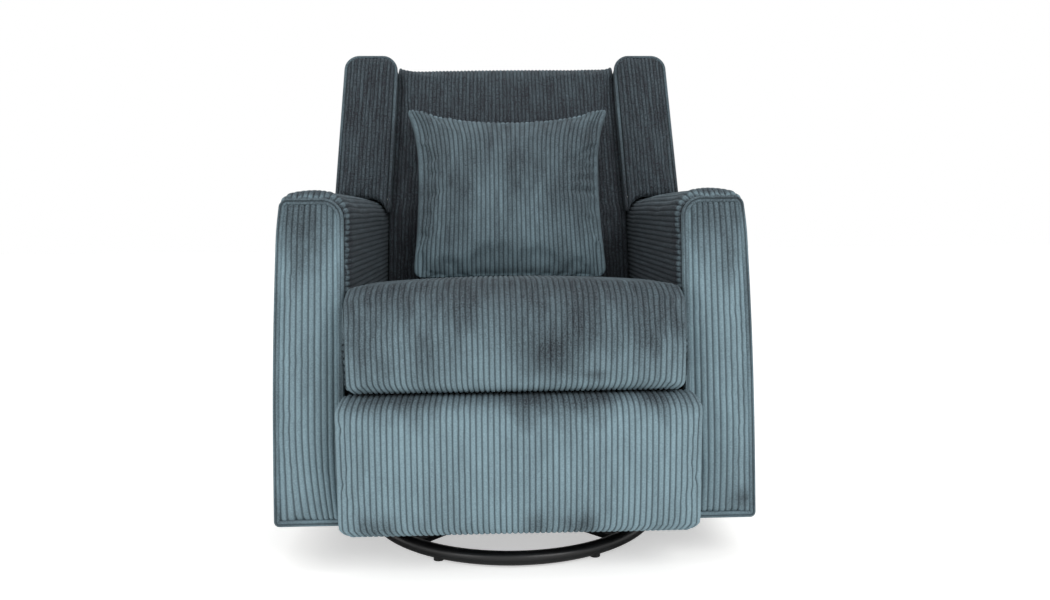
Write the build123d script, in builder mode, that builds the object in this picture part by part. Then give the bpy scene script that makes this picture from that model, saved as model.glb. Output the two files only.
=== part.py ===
import os
from math import acos, atan2, cos, degrees, radians, sin, tan

from build123d import *

os.makedirs("parts", exist_ok=True)

# Swivel glider recliner with wing back, in millimetres.
# The chair faces -Y, +X is to the right of someone looking at its front, +Z is up.
# The origin is where the swivel axis meets the floor.

# Ring base and swivel
ring_radius = 268.0
ring_tube = 12.0
glide_pad_height = 2.5
glide_pad_radius = 9.0
ring_centre_z = glide_pad_height + ring_tube
spoke_width = 46.0
spoke_thickness = 10.0
spoke_bottom_z = 12.0
spoke_top_z = spoke_bottom_z + spoke_thickness
race_plate_half = 75.0
race_plate_thickness = 4.0
ball_circle_radius = 57.0
ball_radius = 4.0
race_inner_radius = 49.0
race_outer_radius = 65.0
race_rib_height = 8.0
spindle_radius = 10.0
lower_plate_top_z = spoke_top_z + race_plate_thickness
ball_centre_z = lower_plate_top_z + race_rib_height + 2.0
upper_plate_bottom_z = ball_centre_z + 2.0 + race_rib_height
upper_plate_top_z = upper_plate_bottom_z + race_plate_thickness

# Carriage on the swivel
deck_thickness = 5.0
deck_half_x = 194.0
deck_half_y = 92.0
deck_top_z = upper_plate_top_z + deck_thickness
stand_thickness = 4.0
stand_flange_width = 34.0
glide_link_length = 110.0
glide_pivot_y = 65.0
glide_upper_z = 240.0
glide_lower_z = glide_upper_z - glide_link_length
glide_pin_radius = 5.0
running_gap = 0.06

# Layers across the chair, measured out from the middle
stand_x = 190.0
glide_link_x = 201.0
glide_rail_x = 212.0
coupler_x = 219.0
crank_x = 223.5
side_plate_x = 228.0
link_thickness = 3.5
glide_plate_thickness = 4.0
side_plate_thickness = 3.0
side_rail_x = side_plate_x + side_plate_thickness
side_rail_thickness = 24.0
arm_frame_x = side_rail_x + side_rail_thickness

# Seat box
rail_top_z = 333.0
rail_bottom_z = 298.0
front_rail_front_y = -264.0
front_rail_rear_y = -238.0
rear_rail_front_y = 195.0
rear_rail_rear_y = 220.0
side_rail_rear_y = 290.0
side_rail_bottom_z = 250.0
tube_size = 25.0
tube_wall = 2.0
tube_bottom_z = 288.0
front_tube_y = -94.5
rear_tube_y = 172.5
spring_wire = 4.0
spring_gap = 0.3
spring_pitch = 40.0
spring_half_width = 28.0
rear_board_thickness = 12.0
rear_board_top_z = 268.0
rear_board_bottom_z = 110.0
rear_skirt_rear_y = 316.0
rear_skirt_top_z = 274.0
rear_skirt_half_width = 262.0
rear_skirt_corner = 8.0
rear_skirt_gap = 0.3

# Footrest linkage, pivots as (y, z)
crank_length = 140.0
crank_closed = radians(-103.0)
pivot_spacing = 66.0
pivot_line = radians(37.0)
control_offset = 45.0
control_closed = radians(-92.0)
link_half_width = 9.0
stud_radius = 4.0
shaft_radius = 7.0
pivot_a = (-150.0, 235.0)
footrest_pivot = (-238.0, 245.0)


def step_from(point, length, angle):
    return (point[0] - length * cos(angle), point[1] + length * sin(angle))


pivot_b = step_from(pivot_a, pivot_spacing, pivot_line)
joint_a = step_from(pivot_a, crank_length, crank_closed)
joint_b = step_from(pivot_b, crank_length, crank_closed)
joint_d = step_from(joint_b, control_offset, control_closed)
footrest_control = step_from(footrest_pivot, control_offset, control_closed)

# Seat cushion's widths, which the arms stand clear of
seat_front_half_width = 270.0
seat_half_width = 279.0
seat_rear_half_width = 264.0
seat_arm_gap_front = 5.0
seat_arm_gap_rear = 2.0

# Arms
arm_bottom_z = 78.0
arm_top_z = 614.0
arm_front_y = -270.0
arm_start_y = -280.0
arm_rear_y = 300.0
arm_rake = 75.0
arm_inner_front = seat_half_width + seat_arm_gap_front
arm_inner_rear = seat_rear_half_width + seat_arm_gap_rear
arm_top_width = 109.0
arm_bottom_spread = 7.0
arm_outer_top = arm_inner_front + arm_top_width
arm_outer_bottom = arm_outer_top + arm_bottom_spread
arm_front_thickness = 14.0
arm_inner_padding = 6.0
arm_core_width = 95.0
arm_core_inner = arm_inner_front + arm_inner_padding
arm_core_outer = arm_core_inner + arm_core_width
arm_core_top_z = 577.0
arm_board = 12.0
arm_inner_corner = 34.0
arm_outer_corner = 14.0
arm_bottom_corner = 9.0
welt_radius = 4.5
arm_height = arm_top_z - arm_bottom_z
rake_angle = atan2(arm_rake, arm_height)
arm_front_height = arm_height / cos(rake_angle)
arm_plane = Plane(
    origin=(0, arm_front_y, arm_bottom_z),
    x_dir=(1, 0, 0),
    z_dir=(0, -cos(rake_angle), sin(rake_angle)),
)

# Seat cushion's profile, and the footrest
seat_side_top_z = 459.0
seat_front_y = -318.0
seat_top_z = 474.0
seat_rear_top_z = 442.0
seat_crest_y = -190.0
seat_bottom_z = 337.6
seat_lip_bottom_z = 305.0
seat_rear_gap = 23.0
footrest_half_width = 290.0
footrest_front_y = -332.0
footrest_pad_rear_y = -276.0
footrest_board_rear_y = -258.0
footrest_bottom_z = 77.0
footrest_top_z = 300.0
footrest_edge = 16.0

# Backrest, drawn on a plane that leans with it
back_lean = radians(17.0)
back_face_y = 210.0
back_ref_z = 450.0
back_half_width = 259.7
back_bottom = -80.0
back_top = 484.0
back_crown = 18.0
back_roll = 458.0
outer_back_bottom = -108.0
back_depth = 88.0
back_rail_front = 93.0
back_rail_thickness = 18.0
back_stile_front = back_rail_front + back_rail_thickness
back_stile_rear = back_stile_front + 18.0
back_rear = 143.0
back_stile_inner = 183.0
back_stile_outer = 223.0
back_pivot = (255.0, 305.0)
wing_gap = 0.3
wing_taper = 15.0
wing_width = 112.0
wing_inner = back_half_width + wing_gap
wing_inner_top = wing_inner - wing_taper
wing_taper_start = 170.0
wing_outer_bottom = wing_inner + wing_width
wing_outer_top = wing_inner_top + wing_width
wing_front = -25.0
wing_top = 497.0
wing_bottom_z = 620.0
wing_tip_z = 602.0
wing_corner = 34.0
wing_rail_reach = 340.0
back_plane = Plane(
    origin=(0, back_face_y, back_ref_z),
    x_dir=(1, 0, 0),
    z_dir=(0, -cos(back_lean), sin(back_lean)),
)

# Loose pillow leaning on the back
pillow_width = 402.0
pillow_height = 376.0
pillow_half_thickness = 58.0
pillow_lean = radians(22.0)
pillow_centre = (4.0, 179.5, 626.0)
pillow_draw_in = 15.0


def back_point(up, depth):
    return (
        back_face_y + up * sin(back_lean) + depth * cos(back_lean),
        back_ref_z + up * cos(back_lean) - depth * sin(back_lean),
    )


def wing_inner_at(up):
    rise = max(0.0, up - wing_taper_start) / (wing_top - wing_taper_start)
    return wing_inner - (wing_inner - wing_inner_top) * rise


def arm_inner_at(y):
    share = (y - arm_start_y) / (arm_rear_y - arm_start_y)
    return arm_inner_front + (arm_inner_rear - arm_inner_front) * share


def save(builder, name):
    builder.part.label = name
    export_step(builder.part, "parts/" + name + ".step")


def save_pair(builder, name):
    save(builder, name + "_right")
    with BuildPart() as twin:
        mirror(builder.part, about=Plane.YZ)
    save(twin, name + "_left")


def save_group(builder, name):
    with BuildPart() as group:
        add(builder.part)
        mirror(builder.part, about=Plane.YZ)
    save(group, name)


def side_plane(x):
    return Plane.YZ.offset(x)


def pin(point, radius, x_start, x_end):
    with BuildSketch(side_plane(x_start)) as round_section:
        with Locations(point):
            Circle(radius)
    extrude(round_section.sketch, amount=x_end - x_start)


def link_plate(spans, half_width, x, thickness, holes):
    with BuildSketch(side_plane(x)) as link_outline:
        for start, end in spans:
            run = Vector(*end) - Vector(*start)
            with Locations(((start[0] + end[0]) / 2, (start[1] + end[1]) / 2)):
                SlotCenterToCenter(run.length, 2 * half_width, rotation=degrees(atan2(run.Y, run.X)))
        for centre, radius in holes:
            with Locations(centre):
                Circle(radius, mode=Mode.SUBTRACT)
    extrude(link_outline.sketch, amount=thickness)


def arm_outline(inset):
    return (
        (arm_inner_front + inset, inset),
        (arm_inner_front + inset, arm_front_height - inset),
        (arm_outer_top - inset, arm_front_height - inset),
        (arm_outer_bottom - inset, inset),
    )


# Base ring: a bent tube closed on itself
with BuildPart() as base_ring:
    with Locations((0, 0, ring_centre_z)):
        Torus(ring_radius, ring_tube)
        Torus(ring_radius, ring_tube - 2.0, mode=Mode.SUBTRACT)
save(base_ring, "base_ring")

# Cross of two flat bars let into the ring
bolt_reach = 60.0 * sin(radians(45.0))
bolt_points = [(sx * bolt_reach, sy * bolt_reach) for sx in (-1, 1) for sy in (-1, 1)]
with BuildPart() as base_cross:
    with BuildSketch(Plane.XY.offset(spoke_bottom_z)):
        Rectangle(2 * ring_radius, spoke_width, rotation=45)
        Rectangle(spoke_width, 2 * ring_radius, rotation=45)
        with Locations(bolt_points):
            Circle(3.05, mode=Mode.SUBTRACT)
        Circle(spindle_radius, mode=Mode.SUBTRACT)
    extrude(amount=spoke_thickness)
    with Locations((0, 0, ring_centre_z)):
        Torus(ring_radius, ring_tube, mode=Mode.SUBTRACT)
    with BuildSketch(Plane.XY.offset(spoke_bottom_z)):
        Circle(ring_radius + 2 * ring_tube)
        Circle(ring_radius, mode=Mode.SUBTRACT)
    extrude(amount=spoke_thickness, mode=Mode.SUBTRACT)
save(base_cross, "base_cross")

# Six flat pads under the ring
with BuildPart() as ring_glides:
    with BuildSketch():
        with PolarLocations(ring_radius, 6):
            Circle(glide_pad_radius)
    extrude(amount=ring_centre_z - 6.0)
    with Locations((0, 0, ring_centre_z)):
        Torus(ring_radius, ring_tube, mode=Mode.SUBTRACT)
save(ring_glides, "ring_glides")

with BuildPart() as swivel_lower_race:
    with BuildSketch(Plane.XY.offset(spoke_top_z)):
        RectangleRounded(2 * race_plate_half, 2 * race_plate_half, 12)
        with Locations(bolt_points):
            Circle(3.05, mode=Mode.SUBTRACT)
    extrude(amount=race_plate_thickness)
    with BuildSketch(Plane.XY.offset(lower_plate_top_z)):
        Circle(race_outer_radius)
        Circle(race_inner_radius, mode=Mode.SUBTRACT)
        with Locations(bolt_points):
            Circle(7.5, mode=Mode.SUBTRACT)
    extrude(amount=race_rib_height)
    with BuildSketch(Plane.XY.offset(spoke_top_z)):
        Circle(spindle_radius)
    extrude(amount=race_plate_thickness, mode=Mode.SUBTRACT)
    with Locations((0, 0, ball_centre_z)):
        Torus(ball_circle_radius, ball_radius + 0.05, mode=Mode.SUBTRACT)
save(swivel_lower_race, "swivel_lower_race")

with BuildPart() as swivel_spindle:
    with BuildSketch(Plane.XY.offset(spoke_bottom_z)):
        Circle(spindle_radius)
    extrude(amount=upper_plate_top_z + 0.5 - spoke_bottom_z)
    with BuildSketch(Plane.XY.offset(upper_plate_top_z + 0.5)):
        Circle(16)
    extrude(amount=7)
save(swivel_spindle, "swivel_spindle")

with BuildPart() as swivel_balls:
    with Locations((0, 0, ball_centre_z)):
        with PolarLocations(ball_circle_radius, 12):
            Sphere(ball_radius)
save(swivel_balls, "swivel_balls")

with BuildPart() as base_bolts:
    with BuildSketch(Plane.XY.offset(spoke_bottom_z)):
        with Locations(bolt_points):
            Circle(3)
    extrude(amount=spoke_thickness + race_plate_thickness)
    with BuildSketch(Plane.XY.offset(lower_plate_top_z)):
        with Locations(bolt_points):
            RegularPolygon(6, 6)
    extrude(amount=4)
save(base_bolts, "base_bolts")

# Carriage: everything that turns on the swivel below the glide links
with BuildPart() as swivel_upper_race:
    with BuildSketch(Plane.XY.offset(upper_plate_bottom_z - race_rib_height)):
        Circle(race_outer_radius)
        Circle(race_inner_radius, mode=Mode.SUBTRACT)
    extrude(amount=race_rib_height)
    with BuildSketch(Plane.XY.offset(upper_plate_bottom_z)):
        RectangleRounded(2 * race_plate_half, 2 * race_plate_half, 12)
        Circle(spindle_radius + 0.4, mode=Mode.SUBTRACT)
    extrude(amount=race_plate_thickness)
    with Locations((0, 0, ball_centre_z)):
        Torus(ball_circle_radius, ball_radius + 0.4, mode=Mode.SUBTRACT)
save(swivel_upper_race, "swivel_upper_race")

deck_bolts = [(sx * 174, sy * 68) for sx in (-1, 1) for sy in (-1, 1)]
with BuildPart() as carriage_deck:
    with BuildSketch(Plane.XY.offset(upper_plate_top_z)):
        RectangleRounded(2 * deck_half_x, 2 * deck_half_y, 16)
        Circle(24, mode=Mode.SUBTRACT)
        with Locations((120, 0), (-120, 0)):
            SlotOverall(90, 40, rotation=90, mode=Mode.SUBTRACT)
        with Locations(deck_bolts):
            Circle(4.05, mode=Mode.SUBTRACT)
    extrude(amount=deck_thickness)
save(carriage_deck, "carriage_deck")

with BuildPart() as glide_stand:
    with BuildSketch(side_plane(stand_x)):
        with BuildLine():
            Polyline(
                (-88, deck_top_z),
                (88, deck_top_z),
                (glide_pivot_y + 15, glide_upper_z + 16),
                (-glide_pivot_y - 15, glide_upper_z + 16),
                close=True,
            )
        make_face()
        fillet(vertices().group_by(Axis.Y)[-1], 14)
        with Locations((0, 150)):
            RectangleRounded(70, 110, 18, mode=Mode.SUBTRACT)
        with Locations((glide_pivot_y, glide_upper_z), (-glide_pivot_y, glide_upper_z)):
            Circle(glide_pin_radius, mode=Mode.SUBTRACT)
    extrude(amount=stand_thickness)
    with BuildSketch(Plane.XY.offset(deck_top_z)):
        with Locations((stand_x - stand_flange_width / 2, 0)):
            Rectangle(stand_flange_width, 176)
        with Locations((174, 68), (174, -68)):
            Circle(4.05, mode=Mode.SUBTRACT)
    extrude(amount=stand_thickness)
save_pair(glide_stand, "glide_stand")

with BuildPart() as carriage_bolts:
    with BuildSketch(Plane.XY.offset(upper_plate_top_z - 3)):
        with Locations(deck_bolts):
            Circle(4)
    extrude(amount=deck_thickness + stand_thickness + 3)
    with BuildSketch(Plane.XY.offset(deck_top_z + stand_thickness)):
        with Locations(deck_bolts):
            RegularPolygon(7.5, 6)
    extrude(amount=5)
save(carriage_bolts, "carriage_bolts")

with BuildPart() as glide_upper_pins:
    for side in (-1, 1):
        for y in (-glide_pivot_y, glide_pivot_y):
            pivot = (y, glide_upper_z)
            pin(pivot, glide_pin_radius, side * stand_x, side * (stand_x + stand_thickness))
            pin(pivot, 8, side * (stand_x + stand_thickness), side * (glide_link_x - 0.5))
            pin(pivot, glide_pin_radius, side * (glide_link_x - 0.5), side * 205.5)
            pin(pivot, 8, side * 205.5, side * 209.5)
save(glide_upper_pins, "glide_upper_pins")

# Four glide links, two in front and two behind
link_hole = glide_pin_radius + running_gap
for name, y in (("front_link", -glide_pivot_y), ("rear_link", glide_pivot_y)):
    with BuildPart() as glide_link:
        upper = (y, glide_upper_z)
        lower = (y, glide_lower_z)
        holes = [(upper, link_hole), (lower, link_hole)]
        link_plate([(upper, lower)], 13, glide_link_x, glide_plate_thickness, holes)
    save_pair(glide_link, name)

# Chair body, hung from the lower ends of the glide links
with BuildPart() as glide_rail:
    with BuildSketch(side_plane(glide_rail_x)):
        with BuildLine():
            Polyline(
                (front_tube_y - 18, tube_bottom_z),
                (front_tube_y - 18, glide_lower_z - 18),
                (rear_tube_y + 18, glide_lower_z - 18),
                (rear_tube_y + 18, tube_bottom_z),
                (rear_tube_y - 14, tube_bottom_z),
                (rear_tube_y - 14, glide_lower_z + 18),
                (front_tube_y + 14, glide_lower_z + 18),
                (front_tube_y + 14, tube_bottom_z),
                close=True,
            )
        make_face()
        fillet(vertices().group_by(Axis.Y)[0], 14)
        fillet(vertices().filter_by_position(Axis.Y, 140, 160), 10)
        with Locations((glide_pivot_y, glide_lower_z), (-glide_pivot_y, glide_lower_z)):
            Circle(glide_pin_radius, mode=Mode.SUBTRACT)
    extrude(amount=glide_plate_thickness)
save_pair(glide_rail, "glide_rail")

with BuildPart() as glide_lower_pins:
    for side in (-1, 1):
        for y in (-glide_pivot_y, glide_pivot_y):
            pivot = (y, glide_lower_z)
            pin(pivot, glide_pin_radius, side * glide_rail_x, side * (glide_rail_x + 4))
            pin(pivot, 8, side * 205.5, side * glide_rail_x)
            pin(pivot, glide_pin_radius, side * 200.5, side * 205.5)
            pin(pivot, 8, side * 196.5, side * 200.5)
save(glide_lower_pins, "glide_lower_pins")

with BuildPart() as cross_tubes:
    for y in (front_tube_y, rear_tube_y):
        with BuildSketch(side_plane(-side_plate_x)):
            with Locations((y, tube_bottom_z + tube_size / 2)):
                Rectangle(tube_size, tube_size)
                Rectangle(tube_size - 2 * tube_wall, tube_size - 2 * tube_wall, mode=Mode.SUBTRACT)
        extrude(amount=2 * side_plate_x)
save(cross_tubes, "cross_tubes")

# Side plates carry the footrest cranks in front and the back hinge behind
with BuildPart() as side_plate:
    with BuildSketch(side_plane(side_plate_x)):
        with BuildLine():
            Polyline(
                (-225, 330),
                (276, 330),
                (276, 284),
                (-112, 256),
                (-128, 216),
                (-172, 216),
                (-225, 262),
                close=True,
            )
        make_face()
        fillet(vertices().group_by(Axis.Y)[0], 12)
        with Locations(pivot_a):
            Circle(shaft_radius + running_gap, mode=Mode.SUBTRACT)
    extrude(amount=side_plate_thickness)
    pin(pivot_b, stud_radius, side_plate_x, crank_x - 0.6)
    pin(pivot_b, 7, crank_x - 0.6, crank_x - 2.1)
    pin(back_pivot, 6, side_plate_x, 222.4)
    pin(back_pivot, 10, 222.4, 220.0)
save_pair(side_plate, "side_plate")

with BuildPart() as seat_side_rail:
    with BuildSketch(side_plane(side_rail_x)):
        with BuildLine():
            Polyline(
                (front_rail_rear_y, rail_top_z),
                (side_rail_rear_y, rail_top_z),
                (side_rail_rear_y, side_rail_bottom_z),
                (front_rail_rear_y, side_rail_bottom_z),
                close=True,
            )
        make_face()
        with Locations(pivot_a):
            Circle(12, mode=Mode.SUBTRACT)
    extrude(amount=side_rail_thickness)
save_group(seat_side_rail, "seat_side_rails")

with BuildPart() as seat_front_rail:
    with BuildSketch(Plane.XY.offset(rail_bottom_z)):
        with Locations((0, (front_rail_front_y + front_rail_rear_y) / 2)):
            Rectangle(2 * arm_frame_x, front_rail_rear_y - front_rail_front_y)
    extrude(amount=rail_top_z - rail_bottom_z)
save(seat_front_rail, "seat_front_rail")

with BuildPart() as seat_rear_rail:
    with BuildSketch(Plane.XY.offset(rail_bottom_z)):
        with Locations((0, (rear_rail_front_y + rear_rail_rear_y) / 2)):
            Rectangle(2 * side_plate_x, rear_rail_rear_y - rear_rail_front_y)
    extrude(amount=rail_top_z - rail_bottom_z)
save(seat_rear_rail, "seat_rear_rail")


def wave_points(start, length):
    points = []
    count = int(length // spring_pitch)
    for turn in range(count + 1):
        reach = spring_half_width if turn % 2 == 0 else -spring_half_width
        along = start + turn * spring_pitch
        points.append((-reach, along))
        points.append((reach, along))
    return points


# One sinuous seat spring, then five side by side
seat_spring_plane = Plane.XY.offset(rail_top_z + spring_gap + spring_wire / 2)
with BuildPart() as seat_spring_wire:
    with BuildLine(seat_spring_plane) as seat_wave:
        FilletPolyline(wave_points(-252, 452), radius=spring_pitch / 2 - 0.5)
    with BuildSketch(Plane(seat_wave.line @ 0, z_dir=seat_wave.line % 0)):
        Circle(spring_wire / 2)
    sweep(path=seat_wave.line)

with BuildPart() as seat_springs:
    with Locations([(96.0 * place, 0, 0) for place in (-2, -1, 0, 1, 2)]):
        add(seat_spring_wire.part)
save(seat_springs, "seat_springs")

# Seat cushion: crowned side to side and front to back, with a lip over the front rail
with BuildPart() as seat_cushion:
    rear_low = back_face_y - (back_ref_z - seat_bottom_z) * tan(back_lean) - seat_rear_gap
    rear_high = back_face_y + (seat_rear_top_z - back_ref_z) * tan(back_lean) - seat_rear_gap
    with BuildSketch(side_plane(-seat_half_width)):
        with BuildLine():
            Line((rear_low, seat_bottom_z), (rear_high, seat_rear_top_z))
            Spline(
                (rear_high, seat_rear_top_z),
                (rear_high - 77, seat_rear_top_z + 9.3),
                (0, seat_top_z - 16),
                (seat_crest_y, seat_top_z),
                (seat_front_y + 58, seat_top_z - 19),
                (seat_front_y + 16, seat_top_z - 62),
                (seat_front_y, seat_top_z - 124),
                tangents=((-1, 0.1), (0, -1)),
            )
            Line((seat_front_y, seat_top_z - 124), (seat_front_y, seat_lip_bottom_z + 26))
            ThreePointArc(
                (seat_front_y, seat_lip_bottom_z + 26),
                (seat_front_y + 7.6, seat_lip_bottom_z + 7.6),
                (seat_front_y + 26, seat_lip_bottom_z),
            )
            Line((seat_front_y + 26, seat_lip_bottom_z), (front_rail_front_y - 4, seat_lip_bottom_z))
            Line((front_rail_front_y - 4, seat_lip_bottom_z), (front_rail_front_y - 4, seat_bottom_z))
            Line((front_rail_front_y - 4, seat_bottom_z), (rear_low, seat_bottom_z))
        make_face()
    extrude(amount=2 * seat_half_width)
    with BuildSketch(Plane.XZ.offset(-400)) as seat_front_form:
        with BuildLine():
            Line((-seat_half_width, seat_lip_bottom_z - 10), (seat_half_width, seat_lip_bottom_z - 10))
            ThreePointArc(
                (seat_half_width, seat_lip_bottom_z - 10),
                (seat_half_width - 2, 370),
                (seat_half_width - 4, seat_side_top_z),
            )
            ThreePointArc(
                (seat_half_width - 4, seat_side_top_z),
                (0, seat_top_z),
                (-seat_half_width + 4, seat_side_top_z),
            )
            ThreePointArc(
                (-seat_half_width + 4, seat_side_top_z),
                (-seat_half_width + 2, 370),
                (-seat_half_width, seat_lip_bottom_z - 10),
            )
        make_face()
    extrude(amount=800, mode=Mode.INTERSECT)
    with BuildSketch(Plane.XY.offset(200)) as seat_plan_form:
        with BuildLine():
            Polyline(
                (-seat_front_half_width, seat_front_y - 5),
                (seat_front_half_width, seat_front_y - 5),
                (seat_half_width, arm_front_y + 20),
                (seat_rear_half_width, 220),
                (-seat_rear_half_width, 220),
                (-seat_half_width, arm_front_y + 20),
                close=True,
            )
        make_face()
    extrude(amount=400, mode=Mode.INTERSECT)
save(seat_cushion, "seat_cushion")

# Arm frame: bent plywood box, open below
with BuildPart() as arm_frame:
    with BuildSketch(Plane.XZ.offset(-290)):
        with BuildLine():
            Polyline(
                (arm_frame_x, 100),
                (arm_frame_x, 325),
                (arm_core_inner, 325),
                (arm_core_inner, arm_core_top_z),
                (arm_core_outer, arm_core_top_z),
                (arm_core_outer, 100),
                (arm_core_outer - arm_board, 100),
                (arm_core_outer - arm_board, arm_core_top_z - arm_board),
                (arm_core_inner + arm_board, arm_core_top_z - arm_board),
                (arm_core_inner + arm_board, 325 - arm_board),
                (arm_frame_x + arm_board, 325 - arm_board),
                (arm_frame_x + arm_board, 100),
                close=True,
            )
        make_face()
    extrude(amount=560)
    split(bisect_by=arm_plane.offset(-arm_front_thickness), keep=Keep.BOTTOM)
save_pair(arm_frame, "arm_frame")

# Arm cover: foam and cloth over the frame, tapering in towards the back
with BuildPart() as arm_cover:
    for y in (arm_start_y, arm_rear_y):
        inner = arm_inner_at(y)
        with BuildSketch(Plane.XZ.offset(-y)):
            with BuildLine():
                Polyline(
                    (inner, 336),
                    (inner, arm_top_z),
                    (arm_outer_top, arm_top_z),
                    (arm_outer_bottom, arm_bottom_z),
                    (arm_core_outer + 0.3, arm_bottom_z),
                    (arm_core_outer + 0.3, 336),
                    close=True,
                )
            make_face()
            top_corners = vertices().group_by(Axis.Y)[-1].sort_by(Axis.X)
            fillet(top_corners[0], arm_inner_corner)
            fillet(vertices().group_by(Axis.Y)[-1].sort_by(Axis.X)[-1], arm_outer_corner)
    loft()
    split(bisect_by=arm_plane.offset(-arm_front_thickness - 0.3), keep=Keep.BOTTOM)
    with BuildSketch(Plane.XZ.offset(-290)):
        with Locations(((arm_core_inner + arm_core_outer) / 2, arm_core_top_z / 2)):
            Rectangle(arm_core_outer - arm_core_inner + 0.6, arm_core_top_z + 0.6)
    extrude(amount=600, mode=Mode.SUBTRACT)
    with BuildSketch(Plane.XZ.offset(-arm_rear_y)):
        with BuildLine():
            Polyline(
                (arm_inner_rear, arm_bottom_z),
                (arm_inner_rear, 336),
                (arm_outer_bottom - 5, 336),
                (arm_outer_bottom, arm_bottom_z),
                close=True,
            )
        make_face()
    extrude(amount=arm_rear_y - 290.3)
save_pair(arm_cover, "arm_cover")

# Arm front: flat raked facing, let in behind the welt
with BuildPart() as arm_front:
    with BuildSketch(arm_plane):
        with BuildLine():
            Polyline(arm_outline(5.2), close=True)
        make_face()
        fillet(vertices().group_by(Axis.Y)[0], arm_bottom_corner)
        fillet(vertices().group_by(Axis.Y)[-1].sort_by(Axis.X)[0], arm_inner_corner - 5.2)
        fillet(vertices().group_by(Axis.Y)[-1].sort_by(Axis.X)[-1], arm_outer_corner - 5.2)
    extrude(amount=-arm_front_thickness)
save_pair(arm_front, "arm_front")

with BuildPart() as arm_welt:
    welt_plane = arm_plane.offset(-arm_front_thickness / 2)
    with BuildSketch(welt_plane, mode=Mode.PRIVATE) as welt_line:
        with BuildLine():
            Polyline(arm_outline(0.3), close=True)
        make_face()
        fillet(vertices().group_by(Axis.Y)[0], arm_bottom_corner + 4.9)
        fillet(vertices().group_by(Axis.Y)[-1].sort_by(Axis.X)[0], arm_inner_corner - 0.3)
        fillet(vertices().group_by(Axis.Y)[-1].sort_by(Axis.X)[-1], arm_outer_corner - 0.3)
    welt_path = welt_line.sketch.face().outer_wire()
    with BuildSketch(Plane(welt_path @ 0, z_dir=welt_path % 0)):
        Circle(welt_radius)
    sweep(path=welt_path)
save_group(arm_welt, "arm_welts")

with BuildPart() as rear_board:
    with BuildSketch(Plane.XZ.offset(-side_rail_rear_y - rear_board_thickness)):
        with Locations((0, (rear_board_top_z + rear_board_bottom_z) / 2)):
            Rectangle(2 * arm_frame_x, rear_board_top_z - rear_board_bottom_z)
    extrude(amount=rear_board_thickness)
save(rear_board, "rear_board")

with BuildPart() as rear_skirt:
    with BuildSketch(Plane.XZ.offset(-rear_skirt_rear_y)):
        with Locations((0, (arm_bottom_z + rear_skirt_top_z) / 2)):
            RectangleRounded(2 * rear_skirt_half_width, rear_skirt_top_z - arm_bottom_z, rear_skirt_corner)
    extrude(amount=rear_skirt_rear_y - side_rail_rear_y - rear_board_thickness - rear_skirt_gap)
save(rear_skirt, "rear_skirt")

# Footrest linkage: two cranks, a coupler and a control link on each side
stud_hole = stud_radius + running_gap
head_radius = 6.5
with BuildPart() as rear_crank:
    holes = [(pivot_a, shaft_radius)]
    link_plate([(pivot_a, joint_a)], link_half_width + 1, crank_x, link_thickness, holes)
    pin(joint_a, stud_radius, crank_x, coupler_x - 0.6)
    pin(joint_a, head_radius, coupler_x - 0.6, coupler_x - 2.0)
save_pair(rear_crank, "rear_crank")

with BuildPart() as torque_shaft:
    pin(pivot_a, shaft_radius, -side_plate_x - 10, side_plate_x + 10)
save(torque_shaft, "torque_shaft")

with BuildPart() as front_crank:
    spans = [(pivot_b, joint_b), (joint_b, joint_d)]
    link_plate(spans, link_half_width, crank_x, link_thickness, [(pivot_b, stud_hole)])
    for joint in (joint_b, joint_d):
        pin(joint, stud_radius, crank_x, coupler_x - 0.6)
        pin(joint, head_radius, coupler_x - 0.6, coupler_x - 2.0)
save_pair(front_crank, "front_crank")

with BuildPart() as coupler_link:
    spans = [(joint_a, joint_b), (joint_b, footrest_pivot)]
    holes = [(joint_a, stud_hole), (joint_b, stud_hole)]
    link_plate(spans, link_half_width, coupler_x, link_thickness, holes)
    pin(footrest_pivot, stud_radius, coupler_x + link_thickness, crank_x + link_thickness + 0.6)
    pin(footrest_pivot, head_radius, crank_x + link_thickness + 0.6, crank_x + link_thickness + 2.0)
save_pair(coupler_link, "coupler_link")

with BuildPart() as control_link:
    holes = [(joint_d, stud_hole), (footrest_control, stud_hole)]
    link_plate([(joint_d, footrest_control)], link_half_width, coupler_x, link_thickness, holes)
save_pair(control_link, "control_link")

with BuildPart() as footrest_bracket:
    spans = [(footrest_pivot, footrest_control)]
    link_plate(spans, link_half_width, crank_x, link_thickness, [])
    with BuildSketch(side_plane(crank_x)):
        with BuildLine():
            Polyline(
                (footrest_board_rear_y, 186),
                (footrest_control[0], 194),
                (footrest_pivot[0], 252),
                (footrest_board_rear_y, 264),
                close=True,
            )
        make_face()
    extrude(amount=link_thickness)
    with BuildSketch(side_plane(crank_x)):
        with Locations((footrest_board_rear_y + link_thickness / 2, 225)):
            Rectangle(link_thickness, 78)
    extrude(amount=26)
    pin(footrest_control, stud_radius, crank_x, coupler_x - 0.6)
    pin(footrest_control, head_radius, coupler_x - 0.6, coupler_x - 2.0)
    with BuildSketch(side_plane(crank_x)):
        with Locations(footrest_pivot):
            Circle(stud_hole)
    extrude(amount=link_thickness, mode=Mode.SUBTRACT)
save_group(footrest_bracket, "footrest_brackets")

with BuildPart() as footrest_board:
    with BuildSketch(Plane.XZ.offset(-footrest_board_rear_y)):
        with Locations((0, (footrest_bottom_z + footrest_top_z) / 2)):
            RectangleRounded(524, footrest_top_z - footrest_bottom_z - 30, 14)
    extrude(amount=footrest_board_rear_y - footrest_pad_rear_y)
save(footrest_board, "footrest_board")

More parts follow.
